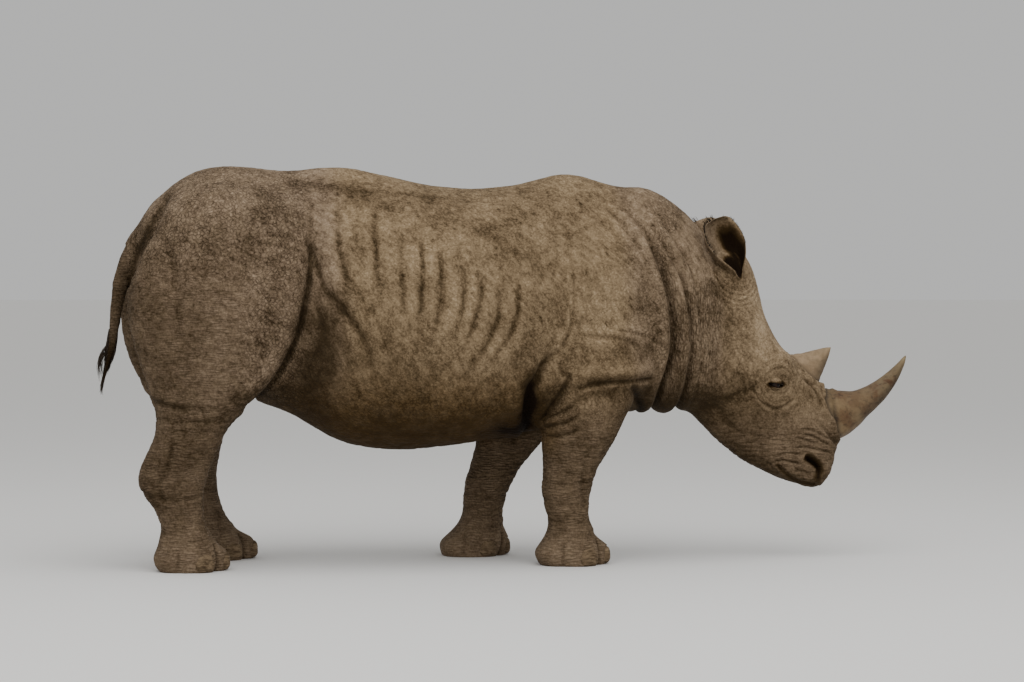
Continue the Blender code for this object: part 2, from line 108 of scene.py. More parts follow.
def withModifier(mesh, kind, coarse=None, **values):    # the mesh as one modifier leaves it
    carrier = addPiece("carrier", mesh)
    modifier = carrier.modifiers.new("once", kind)
    if coarse is not None:
        group = carrier.vertex_groups.new(name="coarse")
        for level in np.unique(coarse):
            group.add(np.nonzero(coarse == level)[0].tolist(), float(level), "REPLACE")
        modifier.vertex_group = group.name
    for key, value in values.items():
        setattr(modifier, key, value)
    return evaluated(carrier)


def middleOf(name):    # the middle of a node of the frame
    low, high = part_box(name)
    return (low + high) / 2


# smooth sums for sculpting
def averaged(values, edges, passes):    # each point drawn halfway to the mean of its neighbours
    count = len(values)
    here = np.concatenate([edges[:, 0], edges[:, 1]])
    there = np.concatenate([edges[:, 1], edges[:, 0]])
    degree = np.maximum(np.bincount(here, minlength=count), 1)[:, None]
    for _ in range(passes):
        sums = [np.bincount(here, weights=column[there], minlength=count) for column in values.T]
        values = (values + np.stack(sums, 1) / degree) / 2
    return values


def melted(points, edges, passes):    # facets melt away, and the second turn gives back lost fullness
    soft = averaged(points, edges, passes)
    return soft + averaged(points - soft, edges, passes)


def step(low, high, value):    # 0 below low, 1 above high, smooth between
    t = np.clip((value - low) / max(high - low, 1e-9), 0, 1)
    return t * t * (3 - 2 * t)


def within(low, high, soft, value):    # 1 between low and high
    return step(low - soft, low, value) * (1 - step(high, high + soft, value))


def zone(flat, x, z):    # 1 inside ranges of x and z, each a low, a high and a softness
    return within(*x, flat[:, 0]) * within(*z, flat[:, 1])


def bell(distance, width):
    return np.exp(-((distance / width) ** 2))


def spot(flat, x, z, reachX, reachZ):    # a round bell in the side view
    return bell(np.hypot((flat[:, 0] - x) / reachX, (flat[:, 1] - z) / reachZ), 1.0)


def roll(distance, reach):    # 0 at the line, 1 at reach, gone by three times that
    t = (distance / reach) ** 2
    return t * np.exp(1 - t)


def cloud(points, size, seed=0.0):    # soft noise between about -1 and 1
    return np.array([noise.noise(p) for p in points / size + seed])


def clouds(points, size, *seeds):    # a column of soft noise for each seed
    return np.stack([cloud(points, size, seed) for seed in seeds], 1)


def cellEdge(points, size, seed):    # 0 on the borders of a net of cells, up to about 0.6 inside
    nearest = np.array([noise.voronoi(p)[0][:2] for p in points / size + seed])
    return nearest[:, 1] - nearest[:, 0]


def curveThrough(points, steps):    # a smooth line through a few points
    points = [np.array(p, float) for p in points]
    path = []
    for i in range(len(points) - 1):
        before, after = points[max(i - 1, 0)], points[min(i + 2, len(points) - 1)]
        for k in range(steps):
            t = k / steps
            slopeIn, slopeOut = (points[i + 1] - before) / 2, (after - points[i]) / 2
            path.append(
                points[i] * (2 * t**3 - 3 * t**2 + 1)
                + slopeIn * (t**3 - 2 * t**2 + t)
                + points[i + 1] * (3 * t**2 - 2 * t**3)
                + slopeOut * (t**3 - t**2)
            )
    path.append(points[-1])
    return np.array(path)


def fromLine(flat, line, reach):    # distance from a line, positive on its right, and the share of its length
    path = curveThrough(line, 5)
    away = np.full(len(flat), 10.0)
    along = np.zeros(len(flat))
    near = ((flat > path.min(0) - reach) & (flat < path.max(0) + reach)).all(1)
    close = np.nonzero(near)[0]
    place = flat[close]
    best = np.full(len(close), 10.0)
    share = np.zeros(len(close))
    for i in range(len(path) - 1):
        start, run = path[i], path[i + 1] - path[i]
        t = np.clip(((place - start) @ run) / (run @ run), 0, 1)
        offset = place - start - t[:, None] * run
        distance = np.hypot(offset[:, 0], offset[:, 1])
        hand = np.where(run[0] * offset[:, 1] - run[1] * offset[:, 0] > 0, -1.0, 1.0)
        closer = distance < np.abs(best)
        best[closer] = (distance * hand)[closer]
        share[closer] = ((i + t) / (len(path) - 1))[closer]
    away[close] = best
    along[close] = share
    return away, along


def faded(along, start, end):    # a line's strength, which fades over a share of its length at each end
    return (step(0, start, along) if start else 1) * (step(0, end, 1 - along) if end else 1)


def foldLift(flat, crease):    # a groove with a roll of skin on either side, fading at its ends
    reach = 3 * max(crease["wide"], crease["roll"])
    away, along = fromLine(flat, crease["line"], reach)
    right, left = crease["rolls"]
    height = np.where(away > 0, right, left) * roll(away, crease["roll"])
    ends = faded(along, *(crease["fade"] or (0.2, 0.2)))
    return crease["deep"] * (height - bell(away, crease["wide"])) * ends * (np.abs(away) < reach)


def lofted(rings):    # a closed shape from a circle pushed out ring by ring, its points set on each ring
    bm = bmesh.new()
    rim = bmesh.ops.create_circle(bm, cap_ends=True, segments=len(rings[0]), radius=1)["verts"]
    for vertex, place in zip(rim, rings[0]):
        vertex.co = place
    edges = bm.edges[:]
    for ring in rings[1:]:
        made = bmesh.ops.extrude_edge_only(bm, edges=edges)["geom"]
        fresh = {item for item in made if isinstance(item, bmesh.types.BMVert)}
        rim = [next(e.other_vert(v) for e in v.link_edges if e.other_vert(v) in fresh) for v in rim]
        for vertex, place in zip(rim, ring):
            vertex.co = place
        edges = [item for item in made if isinstance(item, bmesh.types.BMEdge) and all(v in fresh for v in item.verts)]
    bmesh.ops.contextual_create(bm, geom=edges)
    bmesh.ops.recalc_face_normals(bm, faces=bm.faces)
    return bm


# camera and stage
view = {
    "distance": 12.5,    # metres from the middle of the animal
    "height": 1.25,
    "turn": 9.0,         # degrees behind square on
    "dip": 1.365,        # degrees below level
    "lens": 101.07,
}
studio = {
    "keySize": 9.0, "keyPower": 420.0, "keyAt": (-0.2, -3.2, 6.5),
    "fillSize": 6.0, "fillPower": 60.0, "fillAt": (-4.0, -9.0, 3.2),
    "aim": (-0.2, 0, 0.9),
    "air": (0.93, 0.93, 0.92), "airStrength": 0.74, "backdropStrength": 0.62,
    "floorColour": (0.78, 0.77, 0.75), "floorRoughness": 0.9, "floorRadius": 120.0,
}


def buildCamera():
    turn = math.radians(view["turn"])
    camera = bpy.data.objects.new("camera", bpy.data.cameras.new("camera"))
    camera.location = (-view["distance"] * math.sin(turn), -view["distance"] * math.cos(turn), view["height"])
    camera.rotation_euler = (math.radians(90 - view["dip"]), 0, -turn)
    camera.data.lens = view["lens"]
    camera.data.clip_end = 300
    bpy.context.scene.collection.objects.link(camera)
    bpy.context.scene.camera = camera


def buildStage():
    for name in ("key", "fill"):
        lamp = bpy.data.objects.new(name + "Light", bpy.data.lights.new(name, "AREA"))
        lamp.data.size = studio[name + "Size"]
        lamp.data.energy = studio[name + "Power"]
        lamp.location = studio[name + "At"]
        lamp.rotation_euler = (Vector(studio["aim"]) - lamp.location).to_track_quat("-Z", "Y").to_euler()
        bpy.context.scene.collection.objects.link(lamp)
    world = bpy.data.worlds.new("studio")
    world.use_nodes = True
    tree = world.node_tree
    air, backdrop = tree.nodes["Background"], tree.nodes.new("ShaderNodeBackground")
    for node, strength in ((air, studio["airStrength"]), (backdrop, studio["backdropStrength"])):
        node.inputs["Color"].default_value = (*studio["air"], 1)
        node.inputs["Strength"].default_value = strength
    both = tree.nodes.new("ShaderNodeMixShader")    # what is seen behind the floor is as bright as its far edge
    tree.links.new(tree.nodes.new("ShaderNodeLightPath").outputs["Is Camera Ray"], both.inputs["Fac"])
    tree.links.new(air.outputs["Background"], both.inputs[1])
    tree.links.new(backdrop.outputs["Background"], both.inputs[2])
    tree.links.new(both.outputs["Shader"], tree.nodes["World Output"].inputs["Surface"])
    bpy.context.scene.world = world
    bm = bmesh.new()
    bmesh.ops.create_circle(bm, cap_ends=True, radius=studio["floorRadius"], segments=64)
    floor = addPiece("floor", meshFrom(bm, "floor"))
    paint = bpy.data.materials.new("floorPaint")
    paint.use_nodes = True
    shader = paint.node_tree.nodes["Principled BSDF"]
    shader.inputs["Base Color"].default_value = (*studio["floorColour"], 1)
    shader.inputs["Roughness"].default_value = studio["floorRoughness"]
    floor.data.materials.append(paint)


buildCamera()
buildStage()
print("stage set")

# the skin starts as the flesh nodes merged into one surface
skinForm = {
    "grid": 0.010,           # metres between points, which also closes the cuts between the nodes
    "bodyPasses": 80,        # passes that melt the solids' facets away
    "finerPasses": 18,       # and fewer where the form is small
    "finerAbove": 0.80,      # metres forward of which the head's form is small
    "finerBelow": 0.20,      # height under which the feet's form is small
    "settlePasses": 4,       # after each halving of the edges
    "mostTriangles": 195000,
    "sliver": 0.0001,        # points closer than this become one
    "sole": 0.3,             # share of the grid under which a point is drawn to the floor
}
tailForm = {    # where it stands clear of the rump, its lower part, and where its core draws in under the bristles
    "behind": -1.66, "half": 0.08,
    "finer": {"behind": -1.58, "half": 0.10, "soft": (-1.66, -1.60)},
    "line": [(-1.706, 1.100), (-1.718, 1.000), (-1.727, 0.930), (-1.741, 0.870), (-1.756, 0.815), (-1.768, 0.765)],
    "drawnFrom": 0.95, "drawnBy": 0.83, "drawnTo": 0.32,
}
strides = {    # how far a left leg is swung from where the right one stands, and the height it swings from
    "fore_left": {"pivot": 1.20, "from": -0.60, "to": 0.40, "soft": 0.12},
    "hind_left": {"pivot": 0.72, "from": -3.00, "to": -1.00, "soft": 0.20},
}


def flatSpots(points):    # side view of each point, with the left legs swung back to where the right ones stand
    flat = points[:, [0, 2]].copy()
    for leg, swing in strides.items():
        amount = middleOf(leg + "_foot").x - middleOf(leg.replace("left", "right") + "_foot").x
        share = np.clip(1 - points[:, 2] / swing["pivot"], 0, 1)
        share *= within(swing["from"], swing["to"], swing["soft"], points[:, 0]) * step(-0.02, 0.08, points[:, 1])
        flat[:, 0] -= amount * share
    return flat


def onTail(points):
    return (points[:, 0] < tailForm["behind"]) & (np.abs(points[:, 1]) < tailForm["half"])


def mergedFlesh():
    names = ["trunk", "neck", "head", "tail", "tail_tuft", "eye_left", "eye_right"]
    names += [f"{leg}_{part}" for leg in legNames for part in ("upper", "lower", "foot")]
    bm = bmesh.new()
    for name in names:
        bm.from_mesh(nodes[name].data)
    bmesh.ops.remove_doubles(bm, verts=bm.verts, dist=1e-5)
    mesh = withModifier(meshFrom(bm, "flesh"), "REMESH", mode="VOXEL", voxel_size=skinForm["grid"])
    points, edges = pointsOf(mesh), edgesOf(mesh)
    wide = melted(points, edges, skinForm["bodyPasses"])
    fine = melted(points, edges, skinForm["finerPasses"])
    small = np.maximum(
        step(skinForm["finerAbove"] - 0.1, skinForm["finerAbove"] + 0.1, points[:, 0]),
        1 - step(skinForm["finerBelow"] - 0.05, skinForm["finerBelow"] + 0.15, points[:, 2]),
    )
    finer = tailForm["finer"]
    tail = (points[:, 0] < finer["behind"]) & (np.abs(points[:, 1]) < finer["half"])
    small = np.maximum(small, tail * (1 - step(*finer["soft"], points[:, 0])))[:, None]
    placed = wide + (fine - wide) * small
    sole = points[:, 2] < skinForm["sole"] * skinForm["grid"]
    placed[:, 2] = np.where(sole, 0, np.maximum(placed[:, 2], 0))
    setPoints(mesh, placed)
    return mesh


def refined(mesh, chosen):    # halves the edges between the chosen points, and lets them settle
    bm = bmesh.new()
    bm.from_mesh(mesh)
    edges = [e for e in bm.edges if chosen[e.verts[0].index] and chosen[e.verts[1].index]]
    before = len(bm.verts)
    bmesh.ops.subdivide_edges(bm, edges=edges, cuts=1, use_grid_fill=True)
    bmesh.ops.triangulate(bm, faces=[f for f in bm.faces if len(f.verts) > 4])
    made = meshFrom(bm, "refined")
    points = pointsOf(made)
    soft = np.ones(len(points), bool)
    soft[:before] = chosen
    eased = melted(points, edgesOf(made), skinForm["settlePasses"])
    eased[points[:, 2] < 1e-4, 2] = 0
    points[soft] = eased[soft]
    setPoints(made, points)
    return made



# where the features of the head are: the eyes worked out from the frame, the root of the ears given
eyeRadius = (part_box("eye_right")[1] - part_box("eye_right")[0]).z / 2
eyeAt = {label: middleOf("eye_" + label) for label in sideOf}
earRoot = {"x": 0.958, "out": 0.151, "z": 1.240}

# a crease in the side view: metres deep and wide, how broad the rolls of skin beside it are, its line, how far they
# stand out to the right and left as a share of the depth, and the share of its length over which each end fades
def fold(deep, wide, roll, line, rolls=(0.5, 0.5), fade=None, outer=False):
    return {"deep": deep, "wide": wide, "roll": roll, "line": line, "rolls": rolls, "fade": fade, "outer": outer}


bodyFolds = {
    "neckDeep": fold(0.032, 0.016, 0.046, [
        (0.4, 1.56), (0.508, 1.468), (0.588, 1.317), (0.637, 1.147), (0.655, 0.974), (0.632, 0.802),
        (0.6, 0.62)], rolls=(0.6, 0.5), fade=(0.45, 0.0)),
    "neckMiddle": fold(0.022, 0.014, 0.036, [
        (0.505, 1.535), (0.612, 1.372), (0.697, 1.21), (0.737, 1.0), (0.737, 0.83),
        (0.713, 0.62)], rolls=(0.6, 0.25), fade=(0.4, 0.0)),
    "neckFront": fold(0.006, 0.012, 0.032, [
        (0.56, 1.58), (0.654, 1.415), (0.747, 1.243), (0.78, 1.0), (0.783, 0.85),
        (0.77, 0.64)], rolls=(0.4, 0.3), fade=(0.3, 0.1)),
    "neckBack": fold(0.006, 0.012, 0.03, [
        (0.33, 1.57), (0.43, 1.47), (0.51, 1.34), (0.55, 1.22)], rolls=(0.4, 0.4), fade=(0.4, 0.5)),
    "shoulderThin": fold(0.006, 0.008, 0.024, [
        (0.19, 1.32), (0.203, 1.2), (0.199, 1.08), (0.165, 0.96), (0.1, 0.885)], fade=(0.5, 0.3)),
    "armpit": fold(0.028, 0.019, 0.055, [
        (0.13, 0.925), (0.078, 0.869), (0.045, 0.8), (0.01, 0.73), (0.012, 0.655), (0.03, 0.6),
        (0.05, 0.56)], rolls=(0.6, 0.35), fade=(0.3, 0.1)),
    "elbow": fold(0.014, 0.014, 0.04, [
        (0.19, 0.83), (0.16, 0.76), (0.112, 0.675), (0.078, 0.59)], rolls=(-0.2, 0.9)),
    "sleeve": fold(0.015, 0.012, 0.046, [
        (0.16, 0.735), (0.26, 0.768), (0.355, 0.782), (0.47, 0.785),
        (0.57, 0.8)], rolls=(-0.8, 1.2), fade=(0.4, 0.1)),
    "breast": fold(0.012, 0.014, 0.04, [
        (0.46, 0.78), (0.5, 0.72), (0.545, 0.67), (0.56, 0.6)], rolls=(0.4, 0.6)),
    "shoulderLow": fold(0.007, 0.01, 0.026, [
        (0.22, 0.985), (0.3, 0.972), (0.39, 0.968), (0.5, 0.935)], rolls=(0.4, 0.5)),
    "shoulderHigh": fold(0.004, 0.008, 0.022, [(0.38, 1.0), (0.45, 0.997), (0.53, 0.978)], rolls=(0.4, 0.5)),
    "flank": fold(0.028, 0.013, 0.055, [
        (-0.89, 1.6), (-0.907, 1.436), (-0.91, 1.3), (-0.932, 1.157), (-0.968, 0.991), (-1.023, 0.844),
        (-1.09, 0.75), (-1.2, 0.655)], rolls=(0.7, 0.1), fade=(0.45, 0.1)),
    "flankBranch": fold(0.013, 0.014, 0.045, [
        (-0.911, 1.41), (-0.862, 1.2), (-0.785, 1.1), (-0.705, 0.985), (-0.66, 0.84),
        (-0.67, 0.74)], rolls=(0.1, 0.7), fade=(0.1, 0.45)),
    "flankInner": fold(0.008, 0.014, 0.034, [
        (-0.9, 1.18), (-0.875, 1.05), (-0.88, 0.92), (-0.93, 0.8)], rolls=(0.4, 0.4), fade=(0.3, 0.3)),
    "tailSeam": fold(0.026, 0.015, 0.05, [
        (-1.47, 1.61), (-1.503, 1.557), (-1.553, 1.462), (-1.6, 1.372), (-1.632, 1.29), (-1.646, 1.2),
        (-1.655, 1.08)], rolls=(0.35, 0.1), fade=(0.35, 0.55)),
    "knee": fold(0.008, 0.012, 0.038, [
        (-1.6, 0.725), (-1.52, 0.7), (-1.44, 0.684), (-1.36, 0.676),
        (-1.28, 0.676)], rolls=(-0.35, 0.9), fade=(0.1, 0.65), outer=True),
    "kneeUnder": fold(0.0034, 0.01, 0.024, [
        (-1.56, 0.645), (-1.46, 0.63), (-1.36, 0.622), (-1.27, 0.628)], rolls=(0.4, 0.5), outer=True),
    "thighUpper": fold(0.0045, 0.011, 0.032, [
        (-1.19, 1.385), (-1.11, 1.402), (-1.01, 1.394), (-0.93, 1.36)], rolls=(0.5, 0.6), fade=(0.4, 0.4)),
    "thighLower": fold(0.004, 0.011, 0.03, [
        (-1.17, 1.35), (-1.11, 1.368), (-1.02, 1.352), (-0.935, 1.305)], fade=(0.4, 0.4)),
    "buttock": fold(0.008, 0.02, 0.055, [
        (-1.52, 1.42), (-1.47, 1.25), (-1.46, 1.08), (-1.5, 0.92)], fade=(0.3, 0.3)),
    "hock": fold(0.009, 0.014, 0.036, [
        (-1.48, 0.56), (-1.5, 0.46), (-1.535, 0.37), (-1.52, 0.29)], rolls=(0.4, 0.4)),
    "shinGroove": fold(0.006, 0.014, 0.034, [
        (0.285, 0.52), (0.262, 0.42), (0.256, 0.32), (0.27, 0.22)], rolls=(0.4, 0.4), outer=True),
    "elbowOne": fold(0.0065, 0.007, 0.018, [(0.085, 0.632), (0.14, 0.65), (0.205, 0.69)], outer=True),
    "elbowTwo": fold(0.0065, 0.007, 0.018, [(0.09, 0.59), (0.15, 0.604), (0.225, 0.645)], outer=True),
    "elbowThree": fold(0.0055, 0.007, 0.018, [(0.1, 0.548), (0.16, 0.556), (0.235, 0.59)], outer=True),
    "hockCross": fold(0.0035, 0.009, 0.024, [
        (-1.66, 0.345), (-1.56, 0.315), (-1.46, 0.3), (-1.35, 0.315)], rolls=(0.4, 0.5)),
    "wrist": fold(0.0035, 0.009, 0.024, [
        (0.07, 0.375), (0.16, 0.35), (0.24, 0.35), (0.32, 0.37)], rolls=(0.4, 0.5)),
    "wristUnder": fold(0.003, 0.008, 0.022, [
        (0.07, 0.285), (0.16, 0.262), (0.24, 0.262), (0.32, 0.28)], rolls=(0.4, 0.5)),
}
ribs = {    # soft troughs between the ribs: place of the first and last, their number and how they lean
    "deep": 0.0054, "wide": 0.013, "rolls": (0.5, 0.5), "roll": 0.040, "fade": (0.35, 0.40),
    "count": 9, "firstX": -0.78, "lastX": -0.05, "bunch": 0.8, "strayX": 0.030, "strayZ": 0.09,
    "topZ": (1.53, 1.19), "bottomZ": (1.18, 0.86), "sag": (0.03, -0.11),
}
headFolds = {
    "lidCrease": fold(0.0037, 0.005, 0.013, [
        (1.085, 0.8), (1.11, 0.822), (1.143, 0.835), (1.18, 0.83), (1.21, 0.81),
        (1.226, 0.775)], rolls=(0.4, 0.5)),
    "lidUnder": fold(0.0014, 0.0045, 0.01, [
        (1.078, 0.772), (1.092, 0.74), (1.13, 0.721), (1.17, 0.724), (1.205, 0.745)], rolls=(0.5, 0.4)),
    "bagInner": fold(0.0016, 0.005, 0.012, [
        (1.055, 0.785), (1.072, 0.73), (1.115, 0.691), (1.16, 0.686), (1.201, 0.705), (1.222, 0.745),
        (1.228, 0.785)], rolls=(0.6, 0.4)),
    "bagOuter": fold(0.0035, 0.006, 0.016, [
        (1.012, 0.815), (1.035, 0.745), (1.072, 0.695), (1.115, 0.661), (1.15, 0.654), (1.19, 0.672),
        (1.222, 0.7), (1.238, 0.745)], rolls=(0.3, 0.6)),
    "templeOne": fold(0.0018, 0.005, 0.012, [(1.005, 0.86), (1.003, 0.81), (1.016, 0.765), (1.036, 0.728)]),
    "templeTwo": fold(0.0018, 0.005, 0.012, [(1.032, 0.86), (1.028, 0.815), (1.04, 0.772), (1.057, 0.738)]),
    "browOne": fold(0.0015, 0.006, 0.016, [
        (1.075, 0.84), (1.11, 0.862), (1.16, 0.868), (1.205, 0.85), (1.238, 0.815)]),
    "browTwo": fold(0.001, 0.006, 0.016, [(1.06, 0.88), (1.11, 0.9), (1.165, 0.9), (1.215, 0.88)]),
    "hornSeam": fold(0.0058, 0.007, 0.02, [
        (1.236, 0.85), (1.255, 0.81), (1.284, 0.778), (1.315, 0.762),
        (1.365, 0.756)], rolls=(0.5, 0.3), fade=(0.2, 0.1)),
    "hornFall": fold(0.004, 0.007, 0.02, [
        (1.262, 0.815), (1.304, 0.762), (1.339, 0.728), (1.358, 0.69), (1.358, 0.65)], rolls=(0.5, 0.3)),
    "collarBack": fold(0.009, 0.008, 0.022, [
        (1.35, 0.6), (1.375, 0.562), (1.4, 0.532), (1.432, 0.5)], rolls=(0.4, 0.5), fade=(0.3, 0.0)),
    "noseTop": fold(0.0046, 0.006, 0.014, [
        (1.25, 0.56), (1.29, 0.562), (1.335, 0.55), (1.375, 0.528), (1.415, 0.512)]),
    "noseUpper": fold(0.0037, 0.005, 0.011, [(1.225, 0.528), (1.27, 0.52), (1.31, 0.506), (1.35, 0.505)]),
    "noseMiddle": fold(0.0041, 0.005, 0.011, [(1.27, 0.542), (1.32, 0.53), (1.365, 0.505), (1.405, 0.488)]),
    "noseLow": fold(0.006, 0.0055, 0.013, [
        (1.225, 0.485), (1.285, 0.483), (1.325, 0.474), (1.375, 0.466), (1.418, 0.445)], rolls=(0.6, 0.5)),
    "wing": fold(0.0046, 0.005, 0.012, [(1.14, 0.445), (1.19, 0.457), (1.232, 0.457), (1.265, 0.45)]),
    "wingLow": fold(0.0052, 0.005, 0.012, [(1.14, 0.418), (1.18, 0.426), (1.215, 0.42), (1.265, 0.408)]),
    "lipFold": fold(0.0029, 0.0055, 0.013, [(1.195, 0.398), (1.23, 0.386), (1.27, 0.378), (1.3, 0.362)]),
    "mouth": fold(0.013, 0.006, 0.022, [
        (1.16, 0.408), (1.19, 0.376), (1.232, 0.346), (1.272, 0.328),
        (1.33, 0.318)], rolls=(0.15, 0.55), fade=(0.12, 0.0)),
    "chin": fold(0.005, 0.007, 0.018, [(1.11, 0.425), (1.15, 0.378), (1.2, 0.34)], rolls=(0.4, 0.4)),
    "cheek": fold(0.0034, 0.018, 0.05, [
        (0.9, 0.69), (0.96, 0.712), (1.01, 0.74), (1.06, 0.745)], rolls=(0.4, 0.6)),
    "jaw": fold(0.005, 0.016, 0.045, [(0.8, 0.8), (0.85, 0.7), (0.92, 0.61), (1.01, 0.53)]),
    "face": fold(0.005, 0.016, 0.045, [(1.18, 0.64), (1.205, 0.58), (1.2, 0.51)]),
}
nostril = fold(0.046, 0.0155, 0.030, [
    (1.272, 0.446), (1.300, 0.432), (1.328, 0.410), (1.344, 0.388),
    (1.336, 0.352)], rolls=(0.08, 0.16), fade=(0.25, 0.25))
haunch = {    # the left one stands out further behind
    "at": (-1.53, 1.01), "reach": (0.17, 0.24), "back": {"right": 0.012, "left": 0.052},
}
eyelids = {
    "slit": (0.038, 0.0100, 0.0110),    # half length, height above and below the line between the corners
    "tilt": 12.0,                       # degrees that the front corner lies lower
    "upper": 0.0310, "lower": 0.0285,   # radius of each lid's dome
    "reach": 0.095,                     # metres from the middle of the eye that the lids shape
    "socket": 0.007, "socketReach": 0.050,
    "pocket": 0.022,                    # how far the skin behind the slit lies under the domes
    "rim": 0.0012, "soft": 0.006,
}
earRings = {"deep": 0.0020, "spacing": 0.0215, "from": 0.062, "to": 0.140}
earForm = {
    "length": 0.256, "lean": (-0.31, 0.20, 1.0), "facing": (0.40, 1.0, 0.10),
    "wall": 0.013, "rimWall": 0.45, "tipWall": 0.50,
    "flare": 0.004, "wave": 0.0012,
    "roundSteps": 28, "lengthSteps": 5,
    "pit": (0.045, 0.030),              # the hollow at its foot, deep and wide
    # share of the length, radius, degrees of a circle that the wall covers
    "sections": (
        (-0.18, 0.034, 350.0), (0.00, 0.041, 342.0), (0.09, 0.046, 318.0), (0.18, 0.055, 276.0),
        (0.32, 0.071, 232.0), (0.48, 0.085, 200.0), (0.64, 0.092, 174.0), (0.79, 0.090, 152.0),
        (0.90, 0.083, 134.0), (0.965, 0.068, 118.0), (1.00, 0.046, 100.0),
    ),
}
hornCollar = {"high": 0.007, "at": 0.020, "wide": 0.014, "groove": 0.005, "grooveWide": 0.006}
toeForm = {
    "turns": (-58.0, 0.0, 58.0),    # of the toes, outwards positive
    "nailReach": 0.152,             # from the middle of the foot to a middle nail
    "splits": ((-29.0, 1.0), (29.0, 1.0), (-112.0, 0.18), (112.0, 0.18)),    # between the toes, and before the heel
    "splitDeep": 0.030, "splitWide": 0.0085, "splitTop": (0.070, 0.125), "splitLean": 0.10,
    "bulge": 0.021, "bulgeZ": 0.048, "bulgeHigh": 0.040,
    "lobes": ((-58.0, 0.040), (0.0, 0.040), (58.0, 0.040), (-150.0, 0.060), (150.0, 0.060)),
    "crownZ": 0.135, "crownDeep": 0.004, "crownWide": 0.016,
}
# fine folds as nets of cells: stretch of the net, size of a cell, seed, depth, and how much of a cell the crease takes
nets = {
    "body": ((1.2, 1.2, 0.7), 0.050, 0.0, 0.0010, 0.45),
    "rear": ((0.55, 0.55, 1.0), 0.030, 2.0, 0.0026, 0.25),
    "nape": ((1.0, 0.6, 0.30), 0.019, 4.0, 0.0026, 0.25),
    "shins": ((0.28, 0.28, 1.0), 0.027, 6.0, 0.0024, 0.25),
    "head": ((1.0, 1.0, 1.0), 0.026, 8.0, 0.0010, 0.22),
}
flankHollow = {"at": (-0.86, 1.02), "reach": (0.10, 0.24), "deep": 0.014}
swells = ((0.0045, 0.22, 0.0), (0.0020, 0.11, 5.0))    # soft unevenness: height, size and seed
wanders = {"far": 0.006, "size": 0.16, "seeds": (21.0, 31.0), "warp": 0.010, "warpSize": 0.09}    # of folds and nets
fineZones = {    # where the edges are halved once, twice and three times
    "head": (0.80, 0.25), "feetBelow": 0.155, "besideFolds": 2.4,
    "muzzle": (1.13, 0.58), "aroundEye": 0.125, "earRoot": 0.11, "lids": 0.048,
}
regions = {    # in the side view: low, high and softness along x and z
    "rear": ((-2.0, -1.20, 0.12), (0.62, 1.30, 0.12)),
    "nape": ((0.70, 0.85, 0.04), (0.80, 1.22, 0.10)),
    "smooth": ((-0.86, 0.52, 0.12), (0.80, 2.0, 0.15)),
    "pleats": ((0.66, 0.86, 0.06), (0.72, 1.26, 0.12)),
}
headFrom = (0.80, 0.90)    # the head's own folds begin here


def fromEye(points, label):
    return np.linalg.norm(points - np.array(eyeAt[label]), axis=1)


def fromEarRoot(points, side):
    return np.linalg.norm(points - np.array([earRoot["x"], side * earRoot["out"], earRoot["z"]]), axis=1)


def earFrame(side):    # its root, and the directions along it, out of its opening and across
    root = Vector((earRoot["x"], side * earRoot["out"], earRoot["z"]))
    lean = Vector(earForm["lean"]) * Vector((1, side, 1))
    facing = Vector(earForm["facing"]) * Vector((1, side, 1))
    lean.normalize()
    facing = (facing - lean * facing.dot(lean)).normalized()
    return root, lean, facing, lean.cross(facing)


def alongEar(points, side):    # each point's offset from the root of an ear, how far that is along it, and the rest
    root, lean = earFrame(side)[:2]
    offset = points - np.array(root)
    along = offset @ np.array(lean)
    return offset, along, offset - along[:, None] * np.array(lean)


def earRingsOf(side):    # a cupped leaf whose rims meet at its foot
    root, lean, facing, across = earFrame(side)
    rings = []
    for share, radius, sweep in curveThrough(earForm["sections"], earForm["lengthSteps"]):
        centre = root + lean * (share * earForm["length"])
        outer, inner = [], []
        for i in range(earForm["roundSteps"] + 1):
            turn = 2 * i / earForm["roundSteps"] - 1
            angle = math.radians(sweep) / 2 * turn
            wall = earForm["wall"] * (1 - earForm["rimWall"] * turn**4) * (1 - earForm["tipWall"] * max(share, 0))
            flare = earForm["flare"] * step(0.3, 0.6, share) * turn**8
            wave = earForm["wave"] * noise.noise((share * 9, turn * 7, side)) * (share > 0)
            radial = across * math.sin(angle) - facing * math.cos(angle)
            outer.append(centre + radial * (radius + flare + wave))
            inner.append(centre + radial * (radius + flare + wave - wall))
        rings.append(outer + inner[::-1])
    return rings


def withEars(mesh):    # the ears joined to the skin and the seam rounded
    for side in sideOf.values():
        body = addPiece("body", mesh)
        tool = addPiece("ear", meshFrom(lofted(earRingsOf(side)), "ear"))
        modifier = body.modifiers.new("join", "BOOLEAN")
        modifier.operation = "UNION"
        modifier.solver = "MANIFOLD"
        modifier.object = tool
        mesh = evaluated(body)
        bpy.data.objects.remove(tool)
    points, edges = pointsOf(mesh), edgesOf(mesh)
    for side in sideOf.values():
        offset, along, rest = alongEar(points, side)
        around = np.linalg.norm(rest, axis=1)
        weight = bell(along - 0.004, 0.026) * (1 - step(0.055, 0.085, around)) * (around > 0.030)
        soft = averaged(points, edges, 14)
        points += (soft - points) * weight[:, None]
    setPoints(mesh, points)
    return mesh


